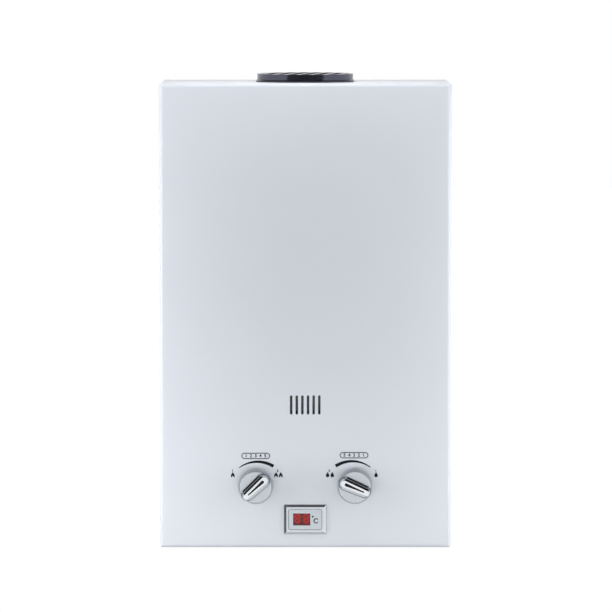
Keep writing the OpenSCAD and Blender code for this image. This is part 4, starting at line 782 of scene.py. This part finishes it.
# %% Numbers
FIGURE_SHARE = 0.7  # height of a figure, as a share of the font's size
FIGURE_MERGE_MM = 0.02
SCALE_H, END_H, END_Z = 3.6, 2.4, -176.4
NUMBERS = (  # piece, and each number with its height and place
    ("temperature_numbers", (("1  2  3  4  5", SCALE_H, *LABELS[0][1:]),
                             ("1", END_H, -82.8, END_Z), ("5", END_H, -31.4, END_Z))),
    ("flow_numbers", (("5  4  3  2  1", SCALE_H, *LABELS[1][1:]),
                      ("5", END_H, 27.4, END_Z), ("1", END_H, 80.5, END_Z))))


def figure_mesh(words, height_mm, weight_mm=0.14):
    """Flat bmesh of a number or letter, centred, its strokes fattened by weight_mm."""
    curve = bpy.data.curves.new("number", "FONT")
    curve.body = words
    curve.align_x, curve.align_y = "CENTER", "CENTER"
    curve.size = height_mm / FIGURE_SHARE * MM
    curve.offset = weight_mm * MM
    holder = bpy.data.objects.new("number", curve)
    scene.collection.objects.link(holder)
    bm = bmesh.new()
    bm.from_mesh(holder.evaluated_get(bpy.context.evaluated_depsgraph_get()).to_mesh())
    bmesh.ops.remove_doubles(bm, verts=bm.verts, dist=FIGURE_MERGE_MM * MM)
    holder.to_mesh_clear()
    bpy.data.objects.remove(holder)
    bpy.data.curves.remove(curve)
    return bm


for name, marks in NUMBERS:
    bm = bmesh.new()
    for words, height, x, z in marks:
        print_mark(bm, figure_mesh(words, height), x, z)
    make_piece(name, bm, "print_ink", "casing")

# %% [markdown]
# ## Pictograms
# Flames stand for heat and drops for water, one for little and two for much. A flame is
# drawn from the corners of one half, which the other half mirrors. The drops reuse the
# outline of the grip bar, with an end that is almost a point. The display's degree mark is
# a small disc beside a letter.

# %% Flames, drops and degree mark
FLAME_X, FLAME_Z = (-82.5, -33.2, -27.8), -181
HALF_FLAME = [(0, 3.4), (0.6, 2.1), (1.6, 0.7), (2.2, -0.9), (2.1, -2.3), (1.6, -3.1),
              (1.0, -2.3), (0.5, -1.5), (0, -0.9)]
FLAME = HALF_FLAME + [(-u, v) for u, v in HALF_FLAME[-2:0:-1]]
DROP_X, DROP_Z = (25.5, 30.8, 80.7), -180.9
DROP = (3.1, 0.12, -0.9, 2.0)  # place and radius of the point, place and radius of the belly
LETTER_H, LETTER_WEIGHT, LETTER_AT = 5.5, 0.22, (12.0, -233.9)
DEGREE_R, DEGREE_STEPS, DEGREE_AT = 1.1, 24, (8.6, -228.7)

bm = bmesh.new()
for x in FLAME_X:
    flame = bmesh.new()
    flame.faces.new([flame.verts.new((u * MM, v * MM, 0)) for u, v in FLAME])
    print_mark(bm, flame, x, FLAME_Z)
make_piece("flame_marks", bm, "print_ink", "casing")

bm = bmesh.new()
for x in DROP_X:
    drop = bmesh.new()
    tapered_outline(drop, *DROP)
    print_mark(bm, drop, x, DROP_Z)
make_piece("drop_marks", bm, "print_ink", "casing")

plate_face_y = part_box("display_plate")[0].y
bm = bmesh.new()
print_mark(bm, figure_mesh("C", LETTER_H, LETTER_WEIGHT), *LETTER_AT, plate_face_y)
disc = bmesh.new()
bmesh.ops.create_circle(disc, cap_ends=True, radius=DEGREE_R * MM, segments=DEGREE_STEPS)
print_mark(bm, disc, *DEGREE_AT, plate_face_y)
make_piece("degree_mark", bm, "print_ink", "casing")

# %% [markdown]
# ## Lit digits
# Behind the red window two digits are lit, each of seven bars. A font of such digits would
# be one more file, so one bar with pointed ends is drawn from its six corners and put in
# seven places, with a narrow gap where two bars meet.

# %% Bars of the digits
DIGIT_W, DIGIT_H = 7.2, 11.2
DIGIT_X, DIGIT_Z = (-9.0, 1.1), -231.1
BAR_W, BAR_GAP = 2.3, 0.25

across, down = DIGIT_W - BAR_W, (DIGIT_H - BAR_W) / 2
bars = [(0, up * down, across, 0) for up in (-1, 0, 1)]
bars += [(side * across / 2, up * down / 2, down, 90) for side in (-1, 1) for up in (-1, 1)]
block_face_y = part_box("digit_block")[0].y
bm = bmesh.new()
for centre in DIGIT_X:
    for u, v, length, turn in bars:
        half, tip = (length - BAR_GAP) / 2, BAR_W / 2
        corners = [(-half, 0), (tip - half, -tip), (half - tip, -tip),
                   (half, 0), (half - tip, tip), (tip - half, tip)]
        bar = bmesh.new()
        bar.faces.new([bar.verts.new((x * MM, y * MM, 0)) for x, y in corners])
        bmesh.ops.rotate(bar, cent=(0, 0, 0), verts=bar.verts,
                         matrix=Matrix.Rotation(math.radians(turn), 3, "Z"))
        print_mark(bm, bar, centre + u, DIGIT_Z + v, block_face_y)
make_piece("lit_digits", bm, "red_light", "casing", ["display_segments"])

# %% [markdown]
# ## Painted shadow round the display
# A thin grey line of painted shadow lies in the gap round the display's plate, and another
# in the seam between the border and the panel, where shade falls. Each is a rectangle with
# rounded corners, as large as the node inside it and a little more, of which only a line is left.

# %% Painted shadow lines
GAP_SHADOW_MM, CORNER_STEPS = 0.65, 6
GAP_SHADOWS = (  # name, node inside it, ground, how far it stands out, radius of its corners
    ("plate_gap_shadow", "display_plate", plate_face_y, 0.28, 2.0),
    ("border_gap_shadow", "display_bezel", panel_y, 0.3, 0.6))

# Each ring is grey painted shadow, standing for the shade in a gap round the display.
for name, inside, ground_y, grow, corner_r in GAP_SHADOWS:
    low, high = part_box(inside)
    width, height = (high.x - low.x + 2 * grow * MM, high.z - low.z + 2 * grow * MM)
    gap_shade = bmesh.new()
    bmesh.ops.create_grid(gap_shade, x_segments=1, y_segments=1, size=0.5)
    bmesh.ops.scale(gap_shade, vec=(width, height, 1), verts=gap_shade.verts)
    bmesh.ops.bevel(gap_shade, geom=gap_shade.verts[:], offset=corner_r * MM, affect="VERTICES",
                    segments=CORNER_STEPS, profile=0.5, material=-1)
    empty_field(gap_shade, gap_shade.faces[:][0], GAP_SHADOW_MM)
    bm = bmesh.new()
    print_mark(bm, gap_shade, (low.x + high.x) / 2 / MM, (low.z + high.z) / 2 / MM, ground_y)
    make_piece(name, bm, "painted_shadow_line", "casing")

# %% [markdown]
# ## Thread of the stubs
# The gas, cold and hot connections end in half-inch pipe threads under the casing. Rings
# would look like a thread only from afar. A real one is one tooth swept round and down by
# its pitch: the spin operator does that with a small step along the axis, two cuts trim the
# helix to its length, and a filled ring closes each end towards the neck or the bore.

# %% Half-inch pipe thread
THREAD_R, THREAD_DEPTH, THREAD_PITCH = 10.475, 1.16, 1.814
CREST_MM = 0.12
TOOTH = (  # radius, share of the pitch
    (THREAD_R - THREAD_DEPTH, 0), (THREAD_R - CREST_MM, 0.42), (THREAD_R, 0.5),
    (THREAD_R - CREST_MM, 0.58), (THREAD_R - THREAD_DEPTH, 1))
STUB_STEPS = 48
STUB_END, FLOOR_BOTTOM, FLOOR_TOP = -271.0, -251.0, -249.8
NECK_L, NECK_R, BORE_R = 4.0, 8.975, 6.5
THREAD_TOP = FLOOR_BOTTOM - NECK_L
CUT_DIST, ON_CUT = 1e-7, 1e-6  # metres: how near counts as on the cut, when cutting and after


def thread_mesh():
    """The trimmed helix with its two end faces, round the Z axis."""
    bm = bmesh.new()
    start = THREAD_TOP + THREAD_PITCH
    row = [bm.verts.new((r * MM, 0, (start - share * THREAD_PITCH) * MM)) for r, share in TOOTH]
    edges = [bm.edges.new(pair) for pair in zip(row, row[1:])]
    turns = math.ceil((THREAD_TOP - STUB_END) / THREAD_PITCH) + 2
    bmesh.ops.spin(bm, geom=row + edges, cent=(0, 0, 0), axis=(0, 0, 1),
                   dvec=(0, 0, -THREAD_PITCH / STUB_STEPS * MM), angle=2 * math.pi * turns,
                   steps=STUB_STEPS * turns, use_merge=False)
    bmesh.ops.remove_doubles(bm, verts=bm.verts, dist=WELD_MM * MM)
    for height, up in ((THREAD_TOP, 1), (STUB_END, -1)):
        bmesh.ops.bisect_plane(bm, geom=bm.verts[:] + bm.edges[:] + bm.faces[:], dist=CUT_DIST,
                               plane_co=(0, 0, height * MM), plane_no=(0, 0, up),
                               clear_outer=True)
    rims = [e for e in bm.edges if e.is_boundary]
    for height, hole_r in ((THREAD_TOP, NECK_R), (STUB_END, BORE_R)):
        rim = [e for e in rims if all(abs(v.co.z - height * MM) < ON_CUT for v in e.verts)]
        hole = bmesh.ops.create_circle(bm, cap_ends=False, radius=hole_r * MM,
                                       segments=STUB_STEPS,
                                       matrix=Matrix.Translation((0, 0, height * MM)))
        hole_edges = {e for v in hole["verts"] for e in v.link_edges}
        bmesh.ops.triangle_fill(bm, edges=rim + list(hole_edges), use_beauty=True,
                                use_dissolve=False)
    return bm


print("the thread is", round(THREAD_TOP - STUB_END, 1), "mm long")

# %% [markdown]
# ## Threaded stubs
# The rest of a stub, its neck, body and bore, is turned about the thread's axis, and a
# hexagon for the spanner sits on the floor plate. Thread, turned body and hexagon are
# poured together and put where the stub's solid is.

# %% Stubs on the floor plate
STUBS = (("gas_inlet", -56.5), ("cold_inlet", 56.5), ("hot_outlet", -136.5))
STUB_Y = -64.0
BODY_R = 11.0
HEX_R, HEX_H = 17.0, 4.0

for name, x in STUBS:
    stub_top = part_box(name)[1].z / MM
    bm = thread_mesh()
    turned = bmesh.new()
    spin_outline(turned, ((NECK_R, THREAD_TOP), (NECK_R, FLOOR_TOP), (BODY_R, FLOOR_TOP),
                          (BODY_R, stub_top), (BORE_R, stub_top), (BORE_R, STUB_END)), STUB_STEPS)
    pour(bm, turned)
    hexagon = bmesh.new()
    bmesh.ops.create_cone(hexagon, cap_ends=True, segments=6, radius1=HEX_R * MM,
                          radius2=HEX_R * MM, depth=HEX_H * MM,
                          matrix=Matrix.Translation((0, 0, (FLOOR_TOP + HEX_H / 2) * MM)))
    pour(bm, hexagon)
    bmesh.ops.translate(bm, vec=(x * MM, STUB_Y * MM, 0), verts=bm.verts)
    make_piece(f"threaded_{name}", bm, "brass", "casing", [name])

# %% [markdown]
# ## Cover screws
# Two pan-head screws hold the cover from below. A boolean could cut the cross recess, but
# operators are enough: the cross is left open when the face of the head is filled, and its
# edge is then pushed in and closed with a floor.

# %% Pan heads with a cross recess
SCREW_R, HEAD_R, HEAD_H = 1.94, 4.0, 2.0
PAN_HEAD = ((2.9, 0), (3.6, 0.35), (HEAD_R, 1.1), (HEAD_R, HEAD_H), (SCREW_R, HEAD_H))
CROSS_HALF, CROSS_REACH, CROSS_DEPTH = 0.45, 2.2, 1.2
quarter = [(CROSS_HALF, CROSS_HALF), (CROSS_HALF, CROSS_REACH), (-CROSS_HALF, CROSS_REACH)]
cross_corners = []
for _ in range(4):
    cross_corners += quarter
    quarter = [(-v, u) for u, v in quarter]

screws_low, screws_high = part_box("cover_screws")
screw_l = (screws_high.z - screws_low.z) / MM
bm = bmesh.new()
for x in (screws_low.x / MM + HEAD_R, screws_high.x / MM - HEAD_R):
    screw = bmesh.new()
    spin_outline(screw, (*PAN_HEAD, (SCREW_R, screw_l)), STUB_STEPS)
    bmesh.ops.remove_doubles(screw, verts=screw.verts, dist=MERGE_MM * MM)
    rims = [e for e in screw.edges if e.is_boundary]
    tip = [e for e in rims if e.verts[0].co.z > HEAD_H * MM]
    bmesh.ops.contextual_create(screw, geom=tip)
    corners = [screw.verts.new((u * MM, v * MM, 0)) for u, v in cross_corners]
    cross = [screw.edges.new(pair) for pair in zip(corners, corners[1:] + corners[:1])]
    bmesh.ops.triangle_fill(screw, edges=[e for e in rims if e not in tip] + cross,
                            use_beauty=True, use_dissolve=False)
    sunk = bmesh.ops.extrude_edge_only(screw, edges=cross)["geom"]
    bmesh.ops.translate(screw, vec=(0, 0, CROSS_DEPTH * MM), verts=verts_of(sunk))
    floor = [g for g in sunk if isinstance(g, bmesh.types.BMEdge) and g.is_boundary]
    bmesh.ops.contextual_create(screw, geom=floor)
    bmesh.ops.translate(screw, verts=screw.verts,
                        vec=(x * MM, (screws_low.y + screws_high.y) / 2, screws_low.z))
    pour(bm, screw)
make_piece("cross_head_screws", bm, "plated_steel", "casing", ["cover_screws"])

# %% [markdown]
# ## Spring of the gas valve
# The rod from the water valve pushes the gas plunger against a coil spring. The solid is the
# spring at rest, and a rigid one would be pierced by the plunger. A copy of its mesh is
# welded into one piece with a mesh of its own.

# %% Welded copy of the spring
bm = bmesh.new()
bm.from_mesh(nodes["plunger_spring"].data)
spring = make_piece("pressed_spring", bm, "plated_steel", "casing", ["plunger_spring"])
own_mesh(spring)
